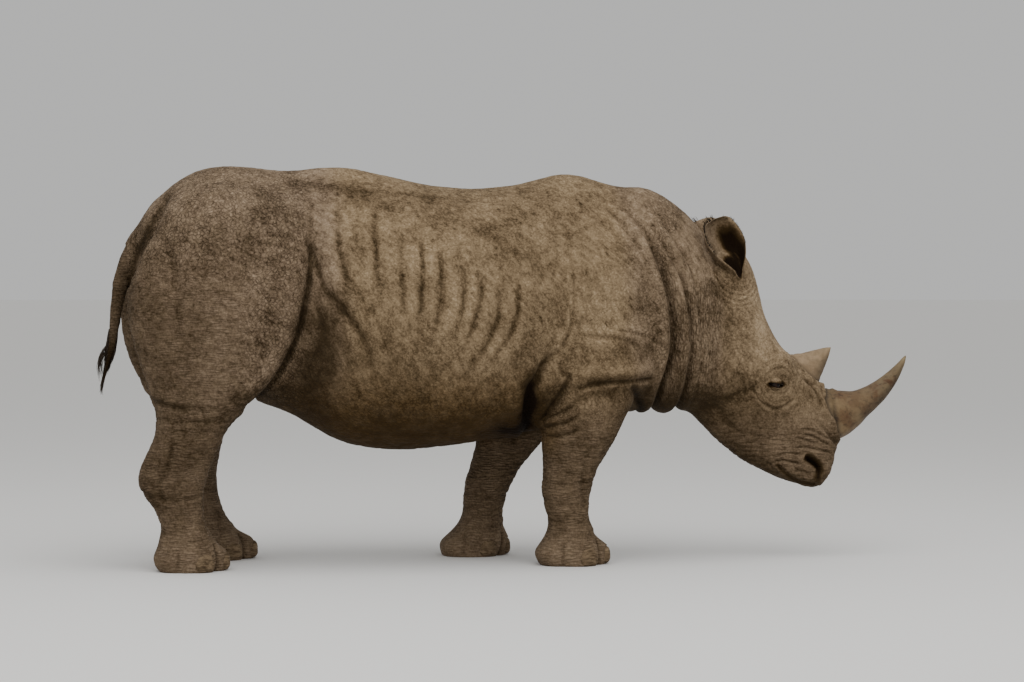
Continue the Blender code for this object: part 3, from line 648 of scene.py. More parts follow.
def zoneLevels(points, flat):    # how many times the edges are halved here
    x, z = points[:, 0], points[:, 2]
    level = np.zeros(len(points), int)
    frontX, aboveZ = fineZones["head"]
    level[(x > frontX) & (z > aboveZ)] = 1
    level[z < fineZones["feetBelow"]] = 1
    for crease in bodyFolds.values():
        away, along = fromLine(flat, crease["line"], 0.05)
        level[np.abs(away) < fineZones["besideFolds"] * crease["wide"]] = 1
    frontX, belowZ = fineZones["muzzle"]
    level[(x > frontX) & (z < belowZ)] = 2
    for label, side in sideOf.items():
        away = fromEye(points, label)
        level[away < fineZones["aroundEye"]] = 2
        level[away < fineZones["lids"]] = 3
        level[fromEarRoot(points, side) < fineZones["earRoot"]] = 2
    return level


lidFrames = {}    # middle, frontwards, up and out of each eye, kept for the lashes


def lidded(points, normals, label):    # lids over the eye, with a slit between them
    side = sideOf[label]
    centre = np.array(eyeAt[label])
    offset = points - centre
    near = (np.linalg.norm(offset, axis=1) < eyelids["reach"]) & (normals[:, 1] * side > 0.2)
    out = normals[near & (np.linalg.norm(offset, axis=1) < 0.05)].mean(0)
    out /= np.linalg.norm(out)
    tilt = math.radians(eyelids["tilt"])
    front = np.array([math.cos(tilt), 0, -math.sin(tilt)])
    front -= out * (front @ out)
    front /= np.linalg.norm(front)
    up = np.cross(out, front)
    up *= np.sign(up[2])
    lidFrames[label] = centre, front, up, out
    u, v, w = offset[near] @ front, offset[near] @ up, offset[near] @ out
    length, above, below = eyelids["slit"]
    t = u / length
    arch = np.clip(1 - t**2, 0, 1)
    edge = np.where(v > 0, above, -below) * arch ** 0.8
    inner = np.where(v > 0, edge - v, v - edge)
    opened = step(-0.0012, 0.0016, inner) * (np.abs(t) < 1)
    dome = eyelids["lower"] + (eyelids["upper"] - eyelids["lower"]) * step(-0.010, 0.010, v)
    apart = np.hypot(u, v)
    lid = np.sqrt(np.clip(dome**2 - apart**2, 0, None))
    hide = w - eyelids["socket"] * bell(apart, eyelids["socketReach"])
    soft = eyelids["soft"]
    high = np.maximum(lid, hide) + soft * np.exp(-np.abs(lid - hide) / soft) * 0.35
    rim = eyelids["rim"] * bell(inner + 0.0022, 0.0022) * (np.abs(t) < 1.05)
    placed = high + rim - opened * eyelids["pocket"] * arch**0.5
    moved = points.copy()
    moved[near] += out * (placed - w)[:, None]
    return moved


def footSpots(points, leg):    # which points are in this foot, how far out, at what turn (outwards positive), which way
    side = sideOf[leg.split("_")[1]]
    nail = middleOf(leg + "_nail_middle")
    offset = points[:, :2] - (nail.x - toeForm["nailReach"], nail.y)
    far = np.hypot(*offset.T)
    near = (far < 0.24) & (points[:, 2] < 0.19)
    turn = np.degrees(np.arctan2(offset[near, 1], offset[near, 0])) * side
    return near, far[near], turn, offset[near] / np.maximum(far[near], 1e-4)[:, None]


def ray(far, turn, way, wide):    # a bell about one way out of the middle of a foot
    apart = np.radians(turn - way)
    return bell(far * np.sin(apart), wide) * (np.cos(apart) > 0.3)


def toeSplits(far, turn, z):    # 1 along the splits between the toes
    low, high = toeForm["splitTop"]
    total = np.zeros(len(far))
    for split, share in toeForm["splits"]:
        leaned = split - math.copysign(1, split) * toeForm["splitLean"] * 100 * np.clip(z - 0.02, 0, 1)
        total += share * ray(far, turn, leaned, toeForm["splitWide"] * (1.2 - 3.0 * z))
    return total * (1 - step(low, high, z))


def toed(points):    # splits between the toes and a crease above them
    moved = points.copy()
    for leg in legNames:
        near, far, turn, outwards = footSpots(points, leg)
        z = points[near, 2]
        lift = -toeForm["splitDeep"] * toeSplits(far, turn, z)
        for lobe, wide in toeForm["lobes"]:
            lift += toeForm["bulge"] * ray(far, turn, lobe, wide) * bell(z - toeForm["bulgeZ"], toeForm["bulgeHigh"])
        ahead = step(-110, -80, turn) * (1 - step(80, 110, turn))
        lift -= toeForm["crownDeep"] * bell(z - toeForm["crownZ"], toeForm["crownWide"]) * ahead
        lift += 0.6 * toeForm["crownDeep"] * bell(z - toeForm["crownZ"] - 0.020, 0.014) * ahead
        lift *= step(0.03, 0.07, far)
        moved[near, :2] += outwards * lift[:, None]
    return moved


def wrinkleLift(points, flat):    # the nets of fine folds that cover the hide
    warp = points + wanders["warp"] * clouds(points, wanders["warpSize"], 3.0, 7.0, 11.0)
    body = within(-2.0, 0.78, 0.05, points[:, 0]) * step(0.50, 0.62, points[:, 2])
    rear, nape = zone(flat, *regions["rear"]), zone(flat, *regions["nape"])
    calm = 1 - np.max([bell(fromEye(points, label), 0.07) for label in sideOf], 0)
    where = {
        "body": body * (1 - rear) * (1 - nape), "rear": rear, "nape": nape,
        "shins": (1 - step(0.50, 0.66, points[:, 2])) * step(0.13, 0.20, points[:, 2]),
        "head": step(0.76, 0.86, points[:, 0]) * calm,
    }
    (large, largeSize, largeSeed), (small, smallSize, smallSeed) = swells
    lift = large * cloud(points, largeSize, largeSeed) * body + small * cloud(points, smallSize, smallSeed)
    for name, (stretch, size, seed, deep, wide) in nets.items():
        lift -= deep * where[name] * (1 - step(0.0, wide, cellEdge(warp * stretch, size, seed)))
    return lift


def ribLines():
    def between(pair, share):
        return pair[0] + (pair[1] - pair[0]) * share

    for i in range(ribs["count"]):
        share = i / (ribs["count"] - 1)
        x = between((ribs["firstX"], ribs["lastX"]), share ** ribs["bunch"])
        x += ribs["strayX"] * noise.noise((i * 1.7, 3.1, 0.4))
        stray = ribs["strayZ"] * noise.noise((i * 2.3, 8.2, 0.7))
        top, bottom = between(ribs["topZ"], share) + stray, between(ribs["bottomZ"], share) + 0.6 * stray
        yield [(x, top), (x - 0.005, (top + bottom) / 2), (x + between(ribs["sag"], share), bottom)]


def nearHorns(points):    # the points close to each horn and how far they are from it
    for name in ("horn_front", "horn_rear"):
        bm = solidOf(name)
        tree = BVHTree.FromBMesh(bm)
        low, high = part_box(name)
        bm.free()
        close = np.nonzero(((points > np.array(low) - 0.08) & (points < np.array(high) + 0.08)).all(1))[0]
        yield close, np.array([tree.find_nearest(Vector(points[i]))[3] for i in close])


def hideLift(points, normals):    # how far the folds and wrinkles raise the skin
    wander = wanders["far"] * clouds(points, wanders["size"], *wanders["seeds"])
    flat = flatSpots(points) + wander * (1 - 0.6 * step(0.85, 1.0, points[:, 0])[:, None])    # less on the head
    lift = np.zeros(len(points))
    behind = 1 - step(*headFrom, points[:, 0])
    outerSide = step(-0.35, 0.25, normals[:, 1] * np.sign(points[:, 1]))
    for crease in bodyFolds.values():
        lift += foldLift(flat, crease) * behind * (outerSide if crease["outer"] else 1)
    ribWear = np.clip(0.9 + 0.9 * cloud(points, 0.22, 17.0), 0.2, 1.6)
    for line in ribLines():
        lift += foldLift(flat, {**ribs, "line": line}) * ribWear
    ahead = step(*headFrom, points[:, 0]) * step(0.02, 0.05, np.abs(points[:, 1]))
    for name, crease in headFolds.items():
        lift += foldLift(flat, crease) * (1 - behind if name == "mouth" else ahead)
    lift += foldLift(flat, nostril) * (np.abs(points[:, 1]) > 0.06)
    hollow = spot(flat, *flankHollow["at"], *flankHollow["reach"])
    lift -= flankHollow["deep"] * hollow * step(0.2, 0.4, np.abs(points[:, 1]))
    for side in sideOf.values():
        away = fromEarRoot(points, side)
        rings = np.cos(2 * np.pi * away / earRings["spacing"] + 3.2 * cloud(points, 0.08, 41.0))
        spread = within(earRings["from"], earRings["to"], 0.02, away) * (1 - step(1.20, 1.26, points[:, 2]))
        lift += earRings["deep"] * rings * spread * step(0.86, 0.90, points[:, 0])
    for close, away in nearHorns(points):
        lift[close] += hornCollar["high"] * bell(away - hornCollar["at"], hornCollar["wide"])
        lift[close] -= hornCollar["groove"] * bell(away, hornCollar["grooveWide"])
    lift += wrinkleLift(points, flat)
    lift *= np.where(onTail(points), 0.35, 1.0)
    return lift * step(0.004, 0.03, points[:, 2])    # the soles stay flat


def sculpted(mesh):
    base, normals = pointsOf(mesh), normalsOf(mesh)
    points = toed(base + normals * hideLift(base, normals)[:, None])
    for label, side in sideOf.items():
        points = lidded(points, normals, label)
        offset, along, rest = alongEar(base, side)
        deep, wide = earForm["pit"]
        pit = deep * bell(np.linalg.norm(rest, axis=1), wide) * (np.linalg.norm(offset, axis=1) < 0.12)
        points -= np.array(earFrame(side)[1]) * pit[:, None]
    low = np.nonzero(onTail(base) & (base[:, 2] < tailForm["drawnFrom"]))[0]
    line = curveThrough(tailForm["line"], 8)    # the tail's core draws in under its bristles
    x = np.interp(-base[low, 2], -line[:, 1], line[:, 0])
    thick = step(tailForm["drawnBy"], tailForm["drawnFrom"], base[low, 2])
    drawn = tailForm["drawnTo"] + (1 - tailForm["drawnTo"]) * thick
    points[low, 0] = x + (points[low, 0] - x) * drawn
    points[low, 1] *= drawn
    spread = spot(base[:, [0, 2]], *haunch["at"], *haunch["reach"]) * step(0.15, 0.6, -normals[:, 0])
    for label, side in sideOf.items():
        points[:, 0] -= haunch["back"][label] * spread * step(0.08, 0.22, base[:, 1] * side)
    points[:, 2] = np.maximum(points[:, 2], 0)
    points[base[:, 2] < 1e-4, 2] = 0
    setPoints(mesh, points)


def cleaned(mesh):    # without slivers, folded faces and loose points
    bm = bmesh.new()
    bm.from_mesh(mesh)
    bmesh.ops.remove_doubles(bm, verts=bm.verts, dist=skinForm["sliver"])
    bmesh.ops.delete(bm, geom=[v for v in bm.verts if not v.link_faces], context="VERTS")
    folded = {v: v.link_edges[0].other_vert(v) for v in bm.verts if len(v.link_edges) == 2}
    bmesh.ops.weld_verts(bm, targetmap=folded)
    bmesh.ops.holes_fill(bm, edges=bm.edges)
    return meshFrom(bm, "skin")


def buildSkin():
    mesh = mergedFlesh()
    print("flesh merged:", len(mesh.vertices), "points")
    for level in (1, 2, 3):
        points = pointsOf(mesh)
        mesh = refined(mesh, zoneLevels(points, flatSpots(points)) >= level)
    print("fine zones cut:", len(mesh.vertices), "points")
    sculpted(mesh)
    print("folds sculpted")
    mesh = withEars(mesh)
    print("ears joined")
    points = pointsOf(mesh)
    level = zoneLevels(points, flatSpots(points))
    coarse = np.select([level == 2, level == 3], [0.5, 0.0], 1.0)    # the finest zones keep their points
    triangles = sum(len(p.vertices) - 2 for p in mesh.polygons)
    share = skinForm["mostTriangles"] / triangles
    return cleaned(withModifier(mesh, "DECIMATE", coarse, ratio=share, vertex_group_factor=0.0002))


skinMesh = buildSkin()
skinMesh.shade_smooth()
skin = addPiece("skin", skinMesh)
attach(skin, "root")
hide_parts("trunk", "neck", "head", "tail", "ear_left", "ear_right",
            *[f"{leg}_{part}" for leg in legNames for part in ("upper", "lower", "foot")])
print("skin:", len(skinMesh.polygons), "triangles")


# marks on the hide, painted shade and painted light among them: soft patches in the side view (x, z, reach along x and
# z, how much lighter or darker)
hideMarks = {
    "patches": {
        "dustBand": (-0.78, 1.645, 0.30, 0.035, 0.10),
        "shoulderDust": (0.34, 1.28, 0.26, 0.26, 0.11),
        "shoulderLowDust": (0.36, 1.02, 0.18, 0.06, 0.16),
        # painted shadow under the ear
        "earUnderShadow": (0.962, 1.205, 0.045, 0.040, -0.12),
        "hindFootDust": (-1.47, 0.10, 0.15, 0.09, 0.05),
        "ribDust": (-0.45, 1.35, 0.38, 0.20, 0.06),
        "browDust": (1.20, 0.93, 0.16, 0.14, 0.15),
        "foreheadDust": (1.06, 1.10, 0.13, 0.20, 0.25),
        # painted shade on the rear of the thigh
        "rearThighShade": (-1.50, 1.02, 0.14, 0.34, -0.14),
        "thighDust": (-1.28, 0.98, 0.20, 0.22, 0.045),
        "thighFront": (-1.05, 1.02, 0.10, 0.20, -0.02),
        # painted shade in the flank's hollow and along its fold
        "flankHollow": (-0.88, 0.96, 0.090, 0.26, -0.28),
        "flankFoldShade": (-0.78, 1.14, 0.06, 0.10, -0.06),
        "thighMud": (-1.30, 1.275, 0.17, 0.026, -0.09),
        "thighMudLow": (-1.20, 1.235, 0.10, 0.020, -0.07),
        # painted shade on the belly
        "bellyShade": (-0.40, 0.62, 0.62, 0.20, -0.07),
        "flankLow": (-0.60, 0.88, 0.24, 0.09, -0.10),
        # painted shade low on the belly
        "bellyLowShade": (-0.62, 0.72, 0.20, 0.10, -0.04),
        # painted shade in the armpit, and painted shadow under the shoulder's overhanging fold
        "armpitShade": (0.035, 0.68, 0.09, 0.15, -0.18),
        "underSleeveShadow": (0.38, 0.735, 0.18, 0.035, -0.14),
        "neckShade": (0.70, 0.92, 0.05, 0.26, -0.04),
        "throatShade": (0.72, 0.68, 0.22, 0.09, -0.12),
        "jawShade": (0.96, 0.60, 0.18, 0.10, 0.02),
        "cheekShade": (0.95, 0.72, 0.13, 0.06, -0.04),
        "temple": (0.95, 0.80, 0.035, 0.025, -0.10),
        "chinShade": (1.17, 0.37, 0.14, 0.06, 0.01),
        "muzzleDust": (1.27, 0.49, 0.15, 0.11, 0.04),
        "earFront": (0.90, 1.18, 0.05, 0.10, -0.04),
        "hockShade": (-1.52, 0.45, 0.12, 0.16, -0.05),
        # painted shadow deep in the armpit behind the elbow
        "elbowShadow": (0.014, 0.70, 0.030, 0.12, -0.55),
        "elbowShadowLow": (-0.06, 0.585, 0.10, 0.030, -0.30),
        "tailShade": (-1.70, 1.15, 0.06, 0.30, -0.15),
        "tailEnd": (-1.74, 0.87, 0.06, 0.12, -0.16),
        "tailRoot": (-1.62, 1.40, 0.05, 0.10, -0.05),
        "hornSkin": (1.29, 0.76, 0.07, 0.07, 0.06),
        "noseTopDust": (1.33, 0.60, 0.08, 0.10, 0.04),
    },
    "legShade": -0.07, "legTop": 0.78,
    "underShade": -0.18,            # painted shade where the hide faces the ground
    "topDustAndLight": 0.05,                # and paler where it faces the sky: settled dust and painted top light
    # painted shade along the deepest folds
    "foldShadows": {
        "neckDeep": -0.06, "neckMiddle": -0.02, "flank": -0.20, "flankBranch": -0.09, "armpit": -0.17,
        "elbow": -0.17, "sleeve": -0.17, "tailSeam": -0.27, "breast": -0.17, "knee": -0.05,
    },
    "ribTroughShade": -0.15, "streakWide": 0.0080,    # painted shade in the troughs between the ribs, with painted light on their edges
    "ribEdgeLight": 0.045, "streakEdge": (0.040, 0.016),
    "lines": (    # worn lines along the back: how dark and wide
        (-0.16, 0.013, ((-1.02, 1.640), (-0.86, 1.622), (-0.725, 1.601), (-0.513, 1.580), (-0.302, 1.548))),
        (-0.09, 0.038, ((-0.80, 1.60), (-0.54, 1.535), (-0.215, 1.425), (0.00, 1.33), (0.12, 1.20))),
    ),
    # painted shade in the toe clefts and where the horns meet the skin, painted light on the ear's inner wall
    "cleftShade": -0.22, "hornSeamShade": -0.26, "hornRimWide": 0.007, "earWallLight": 0.20,
    "wander": 0.035,
}
darkMarks = {    # places painted nearly black, painted shade at the eye rims, in the ear's hollow, in the nostrils and along the mouth, and the dark end of the tail: how dark, and between which distances they fade
    "eyeStretch": (0.75, 1, 1.9), "eyeRim": (0.026, 0.041),
    "earPit": (0.030, 0.038), "earBand": (0.018, 0.044), "earBandOut": 0.054, "earBandEnd": (0.165, 0.225),
    "earBandDark": 0.985, "earFoot": (0.015, 0.060), "earFootDark": 0.97,
    "tailEnd": 0.80, "tailEndAt": (0.86, 0.99),
    "nostril": 0.95, "nostrilWide": 0.016, "mouth": 0.7, "mouthWide": 0.006,
}
cavityForm = ((3, 0.0012), (12, 0.006))    # passes of smoothing, and the depth that counts as full


def onLegs(points):
    return 1 - step(hideMarks["legTop"] - 0.3, hideMarks["legTop"], points[:, 2])


def shadeOf(points, normals, wander):    # how much lighter or darker than the middle tone, painted shade and painted light included
    flat = flatSpots(points) + wander
    patchy = 0.92 + 0.25 * cloud(points, 0.08, 71.0)
    shade = np.zeros(len(points))
    # patches of the hide's own tone, and patches of painted shade
    for x, z, wideX, wideZ, amount in hideMarks["patches"].values():
        shade += amount * patchy * spot(flat, x, z, wideX, wideZ)
    shade += hideMarks["legShade"] * onLegs(points) * step(0.05, 0.22, points[:, 2])
    # painted shade where the hide faces the ground, paler where it faces the sky: dust and painted top light
    shade += hideMarks["underShade"] * step(0.05, 0.85, -normals[:, 2]) * step(0.10, 0.30, points[:, 2])
    shade += hideMarks["topDustAndLight"] * step(0.3, 0.9, normals[:, 2])
    edge, edgeWide = hideMarks["streakEdge"]
    # painted shade in the rib troughs and painted light on their edges, broken up by noise
    for line in ribLines():
        away, along = fromLine(flat - 0.6 * wander, line, 0.10)
        worn = np.clip(1.0 + 0.9 * cloud(points, 0.09, 81.0), 0.15, 1.5) * step(0, 0.15, along)
        middle = hideMarks["ribTroughShade"] * bell(away, hideMarks["streakWide"])
        shade += worn * (middle + hideMarks["ribEdgeLight"] * bell(np.abs(away) - edge, edgeWide))
    # painted shade along the deepest folds
    for name, amount in hideMarks["foldShadows"].items():
        crease = bodyFolds[name]
        away, along = fromLine(flat - 0.8 * wander, crease["line"], 0.06)
        start, end = crease["fade"] or (0.3, 0.3)
        ends = faded(along, max(start, 0.05), end)
        shade += amount * bell(away, 0.8 * crease["wide"]) * ends * (points[:, 0] < 0.86)
    for amount, wide, line in hideMarks["lines"]:
        away, along = fromLine(flat - 0.6 * wander, line, 0.12)
        shade += amount * bell(away, wide) * step(0, 0.1, along) * step(0, 0.1, 1 - along) * (points[:, 2] > 1.1)
    # painted shade in the clefts between the toes
    for leg in legNames:
        near, far, turn, outwards = footSpots(points, leg)
        shade[near] += hideMarks["cleftShade"] * np.clip(toeSplits(far, turn, points[near, 2]), 0, 1)
    # painted shade where the horns meet the skin
    for close, away in nearHorns(points):
        shade[close] += hideMarks["hornSeamShade"] * bell(away, hideMarks["hornRimWide"])
    return shade


def cavityOf(points, normals, edges):    # 1 in hollows, -1 on edges
    depths = []
    for passes, deep in cavityForm:
        depths.append(((averaged(points, edges, passes) - points) * normals).sum(1) / deep)
    return np.clip(depths[0] + depths[1], -1, 1)


def earDark(points, normals, side):    # painted shade in the hollow of an ear, and the part of its inside that gets painted light
    across = earFrame(side)[3]
    offset, along, rest = alongEar(points, side)
    around = np.linalg.norm(rest, axis=1)
    inward = step(-0.15, 0.25, -(normals * rest).sum(1) / np.maximum(around, 1e-4))
    forward = -side * (rest @ np.array(across))
    inside = inward * (around < 0.11) * within(-0.10, 0.30, 0.02, along) * (points[:, 1] * side > 0)
    pit = (1 - step(*darkMarks["earPit"], around)) * within(-0.06, 0.08, 0.02, along)
    fromBand = np.abs(forward - darkMarks["earBandOut"] * step(-0.02, 0.09, along))
    band = (1 - step(*darkMarks["earBand"], fromBand)) * (1 - step(*darkMarks["earBandEnd"], along))
    foot = 1 - step(*darkMarks["earFoot"], along)
    hidden = inside * np.maximum(darkMarks["earBandDark"] * band, darkMarks["earFootDark"] * foot)
    return np.maximum(hidden, pit), inside * step(0.05, 0.14, along)


def darkOf(points):    # painted shade at the rims of the eyes, in the nostrils and along the mouth, and the dark end of the tail
    parts = []
    for label in sideOf:
        offset = points - np.array(eyeAt[label])
        parts.append(1 - step(*darkMarks["eyeRim"], np.linalg.norm(offset * darkMarks["eyeStretch"], axis=1)))
    parts.append(darkMarks["tailEnd"] * onTail(points) * (1 - step(*darkMarks["tailEndAt"], points[:, 2])))
    flat = flatSpots(points)
    away, along = fromLine(flat, nostril["line"], 0.05)
    outer = np.abs(points[:, 1]) > 0.06
    parts.append(bell(away, darkMarks["nostrilWide"]) * outer * step(0, 0.1, along) * darkMarks["nostril"])
    away, along = fromLine(flat, headFolds["mouth"]["line"], 0.04)
    parts.append(darkMarks["mouth"] * bell(away, darkMarks["mouthWide"]) * (points[:, 0] > 1.0))
    return np.maximum.reduce(parts)


def calmOf(points):    # where the net of creases stops, round the eyes and on the ears
    parts = [bell(fromEye(points, label), 0.05) for label in sideOf]
    for side in sideOf.values():
        offset, along, rest = alongEar(points, side)
        near = np.linalg.norm(offset, axis=1) < 0.34
        parts.append(near * step(0.01, 0.05, along) * (points[:, 1] * side > 0.06))
    return np.maximum.reduce(parts)


def paintHide(mesh):    # masks for the hide's material
    points, normals = pointsOf(mesh), normalsOf(mesh)
    x, z = points[:, 0], points[:, 2]
    wander = hideMarks["wander"] * clouds(points, 0.13, 51.0, 61.0)
    flat = flatSpots(points) + wander
    flatX, flatZ = flat.T
    shade, dark = shadeOf(points, normals, wander), darkOf(points)
    for side in sideOf.values():
        # painted shade in the ear's hollow, and painted light on its inner wall
        hidden, inside = earDark(points, normals, side)
        dark = np.maximum(dark, hidden)
        shade += hideMarks["earWallLight"] * inside
    legs, tail = onLegs(points), onTail(points) * (z < 1.35)
    rear = 0.8 * within(-2.0, -1.25, 0.15, flatX) * (1 - step(1.1, 1.4, flatZ))
    smooth = zone(flat, *regions["smooth"])
    face = step(*headFrom, x) * step(0.46, 0.58, z)
    muzzle = 0.35 * step(0.90, 1.10, x) * (1 - step(0.46, 0.58, z))
    belly = 0.9 * within(-0.98, 0.06, 0.10, flatX) * (1 - step(0.58, 0.88, flatZ)) * step(0.44, 0.52, z)
    neck, head = within(0.50, 0.84, 0.10, flatX), step(0.8, 0.9, flatX)
    masks = {
        # a warmer tint: painted warm bounce light on the belly, and warmth in the painted shade
        "warmBounce": np.clip(belly + dark, 0, 1),
        "grey": np.maximum.reduce([within(-2.0, -0.86, 0.15, flatX), 0.9 * legs, 0.8 * neck, 0.2 * head]),
        "pitted": within(-0.95, 0.60, 0.12, flatX) * step(0.85, 1.05, flatZ) + 0.35,
        "shade": shade,
        "cavity": cavityOf(points, normals, edgesOf(mesh)),
        "dark": dark,
        "bands": np.maximum.reduce([legs, tail, rear]),
        "pleats": zone(flat, *regions["pleats"]),
        "calm": calmOf(points),
        "rough": np.clip(1 - 0.55 * smooth - 0.5 * face - muzzle + 0.25 * cloud(points, 0.30, 91.0), 0.2, 1.2),
    }
    for name, values in masks.items():
        paintPoints(mesh, name, values)


paintHide(skinMesh)
print("hide painted")

# horns: points along the middle in the side view, with half length and half width there
hornForm = {
    # rim: metres over which the horn's foot gets painted shade beside the skin
    "sides": 44, "steps": 6, "fibres": 26, "rim": 0.009,
    "horn_front": {
        "piece": "hornFront",
        "square": 2.15, "fibreDeep": 0.0030, "lumpDeep": 0.0045, "skirt": 0.0060, "pale": 0.0,
        "collar": (0.20, 0.022, 0.0060),    # share of the length, how wide and how deep
        "rows": (
            (1.330, 0.618, 0.112, 0.092), (1.385, 0.620, 0.117, 0.093), (1.425, 0.624, 0.116, 0.091),
            (1.465, 0.630, 0.107, 0.083), (1.520, 0.648, 0.084, 0.066), (1.580, 0.678, 0.060, 0.050),
            (1.640, 0.718, 0.046, 0.040), (1.700, 0.776, 0.031, 0.028), (1.745, 0.834, 0.016, 0.015),
            (1.764, 0.866, 0.008, 0.008), (1.772, 0.880, 0.002, 0.002),
        ),
    },
    "horn_rear": {
        "piece": "hornRear",
        "square": 2.0, "fibreDeep": 0.0024, "lumpDeep": 0.0035, "skirt": 0.0050, "pale": 1.0,
        "collar": (0.10, 0.030, 0.0015),
        "rows": (
            (1.205, 0.750, 0.112, 0.072), (1.262, 0.788, 0.104, 0.068), (1.308, 0.818, 0.088, 0.058),
            (1.346, 0.848, 0.063, 0.045), (1.388, 0.884, 0.034, 0.026), (1.412, 0.905, 0.016, 0.013),
            (1.428, 0.918, 0.002, 0.002),
        ),
    },
}
skinTree = BVHTree.FromPolygons([v.co for v in skinMesh.vertices], [p.vertices for p in skinMesh.polygons])


def hornLift(form, share, c, s):    # fibres, lumps and the collar, at a share of the length and a way round
    fibre = noise.noise(Vector((c, s, 0)) * hornForm["fibres"] / 6 + Vector((0, 0, share * 1.5)))
    lump = noise.noise(Vector((c * 1.3, s * 1.3, share * 2.2)) * 1.7 + Vector((5, 2, 1)))
    skirt = form["skirt"] * noise.noise(Vector((c * 2, s * 2, share * 16)))
    low = 1 - step(0.25, 0.75, share)
    fade = 1 - step(0.75, 1.0, share)
    lift = form["fibreDeep"] * fibre * fade + form["lumpDeep"] * lump * low + skirt * low
    at, wide, deep = form["collar"]
    groove = deep * float(bell(share - at - 0.012 * s, wide))
    foot = 0.35 * deep * float(1 - step(at - wide, at + wide, share - 0.012 * s))
    return lift - (groove - foot)


def buildHorn(name):
    form = hornForm[name]
    rows = curveThrough(form["rows"], hornForm["steps"])
    power = 2 / form["square"]
    rings = []
    for i, (x, z, reach, half) in enumerate(rows):
        before, after = rows[max(i - 1, 0)], rows[min(i + 1, len(rows) - 1)]
        ahead = Vector((after[0] - before[0], 0, after[1] - before[1])).normalized()
        up = ahead.cross(Vector((0, 1, 0)))
        ring = []
        for k in range(hornForm["sides"]):
            angle = 2 * math.pi * k / hornForm["sides"]
            c, s = math.cos(angle), math.sin(angle)
            out = Vector((0, math.copysign(abs(c) ** power, c), 0)) * half
            side = out + up * math.copysign(abs(s) ** power, s) * reach
            ring.append(Vector((x, 0, z)) + side + side.normalized() * hornLift(form, i / (len(rows) - 1), c, s))
        rings.append(ring)
    mesh = meshFrom(lofted(rings), name)
    mesh.shade_smooth()
    points = pointsOf(mesh)
    middle = rows[:, :2]
    nearest = np.argmin(np.linalg.norm(points[:, None, [0, 2]] - middle[None], axis=2), axis=1)
    paintPoints(mesh, "along", nearest / (len(rows) - 1))
    paintPoints(mesh, "pale", np.full(len(points), form["pale"]))
    # painted shade at the horn's foot, where it meets the skin
    fromSkin = np.array([skinTree.find_nearest(Vector(p))[3] for p in points])
    paintPoints(mesh, "rim", bell(fromSkin, hornForm["rim"]))
    slope = np.gradient(middle, axis=0)
    slope /= np.linalg.norm(slope, axis=1)[:, None]
    off = points[:, [0, 2]] - middle[nearest]
    below = off[:, 0] * slope[nearest, 1] - off[:, 1] * slope[nearest, 0]
    paintPoints(mesh, "under", np.clip(below / rows[nearest, 2], -1, 1))
    piece = addPiece(form["piece"], mesh)
    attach(piece, "root")
    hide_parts(name)
    return piece


hornPieces = [buildHorn(name) for name in ("horn_front", "horn_rear")]
print("horns built")

# eyes
eyeForm = {
    "rings": 32, "sides": 48,
    "iris": 0.0155, "pupil": 0.0060,    # metres from the middle of the eye's face
    "bulge": 0.0018,                    # of the clear front
    "look": (0.34, 1.0, -0.10),
}


def buildEye(label):
    bm = bmesh.new()
    bmesh.ops.create_uvsphere(bm, u_segments=eyeForm["sides"], v_segments=eyeForm["rings"], radius=eyeRadius)
    for vertex in bm.verts:
        if vertex.co.z > 0:
            off = math.hypot(vertex.co.x, vertex.co.y)
            vertex.co.z += eyeForm["bulge"] * float(bell(off, eyeForm["iris"]))
    mesh = meshFrom(bm, "eye")
    points = pointsOf(mesh)
    off = np.hypot(points[:, 0], points[:, 1])
    paintPoints(mesh, "fromMiddle", np.where(points[:, 2] > 0, off, 2 * eyeRadius - off))
    look = Vector(eyeForm["look"]) * Vector((1, sideOf[label], 1))
    mesh.transform(Matrix.Translation(eyeAt[label]) @ look.to_track_quat("Z", "Y").to_matrix().to_4x4())
    mesh.shade_smooth()
    piece = addPiece("eye" + label.capitalize(), mesh)
    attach(piece, "root")
    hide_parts("eye_" + label)
    return piece


eyePieces = [buildEye(label) for label in sideOf]
print("eyes built")

# nails
nailForm = {
    "sides": 32, "rings": 20,
    "radii": (0.024, 0.043, 0.038),
    "square": 2.6, "narrower": 0.16,    # how boxed it is, and how much narrower its top
    "ridgeDeep": 0.0012, "ridges": 9, "lumpDeep": 0.0015,
    "wornZ": 0.016, "worn": 0.004,
    "clear": 0.002,                     # above the floor
}


def nailPoint(place, turn, side):    # a point of the nail from one of a round ball
    square, (deep, wide, high) = nailForm["square"], nailForm["radii"]
    x, y, z = (math.copysign(abs(c) ** (2 / square), c) for c in place)
    long = (abs(x) ** square + abs(y) ** square + abs(z) ** square) ** (1 / square)
    x, y, z = x / long, y / long, z / long
    ridge = nailForm["ridgeDeep"] * noise.noise((y * nailForm["ridges"] / 2, turn, side * 3.0))
    placed = Vector((x * deep, y * wide * (1 - nailForm["narrower"] * z), z * high))
    placed.x += (ridge + nailForm["lumpDeep"] * noise.noise((y * 2, z * 5, turn))) * max(x, 0)
    low = 1 - step(0.0, nailForm["wornZ"], placed.z + high)
    placed.x -= float(low) * nailForm["worn"] * max(x, 0)
    return placed


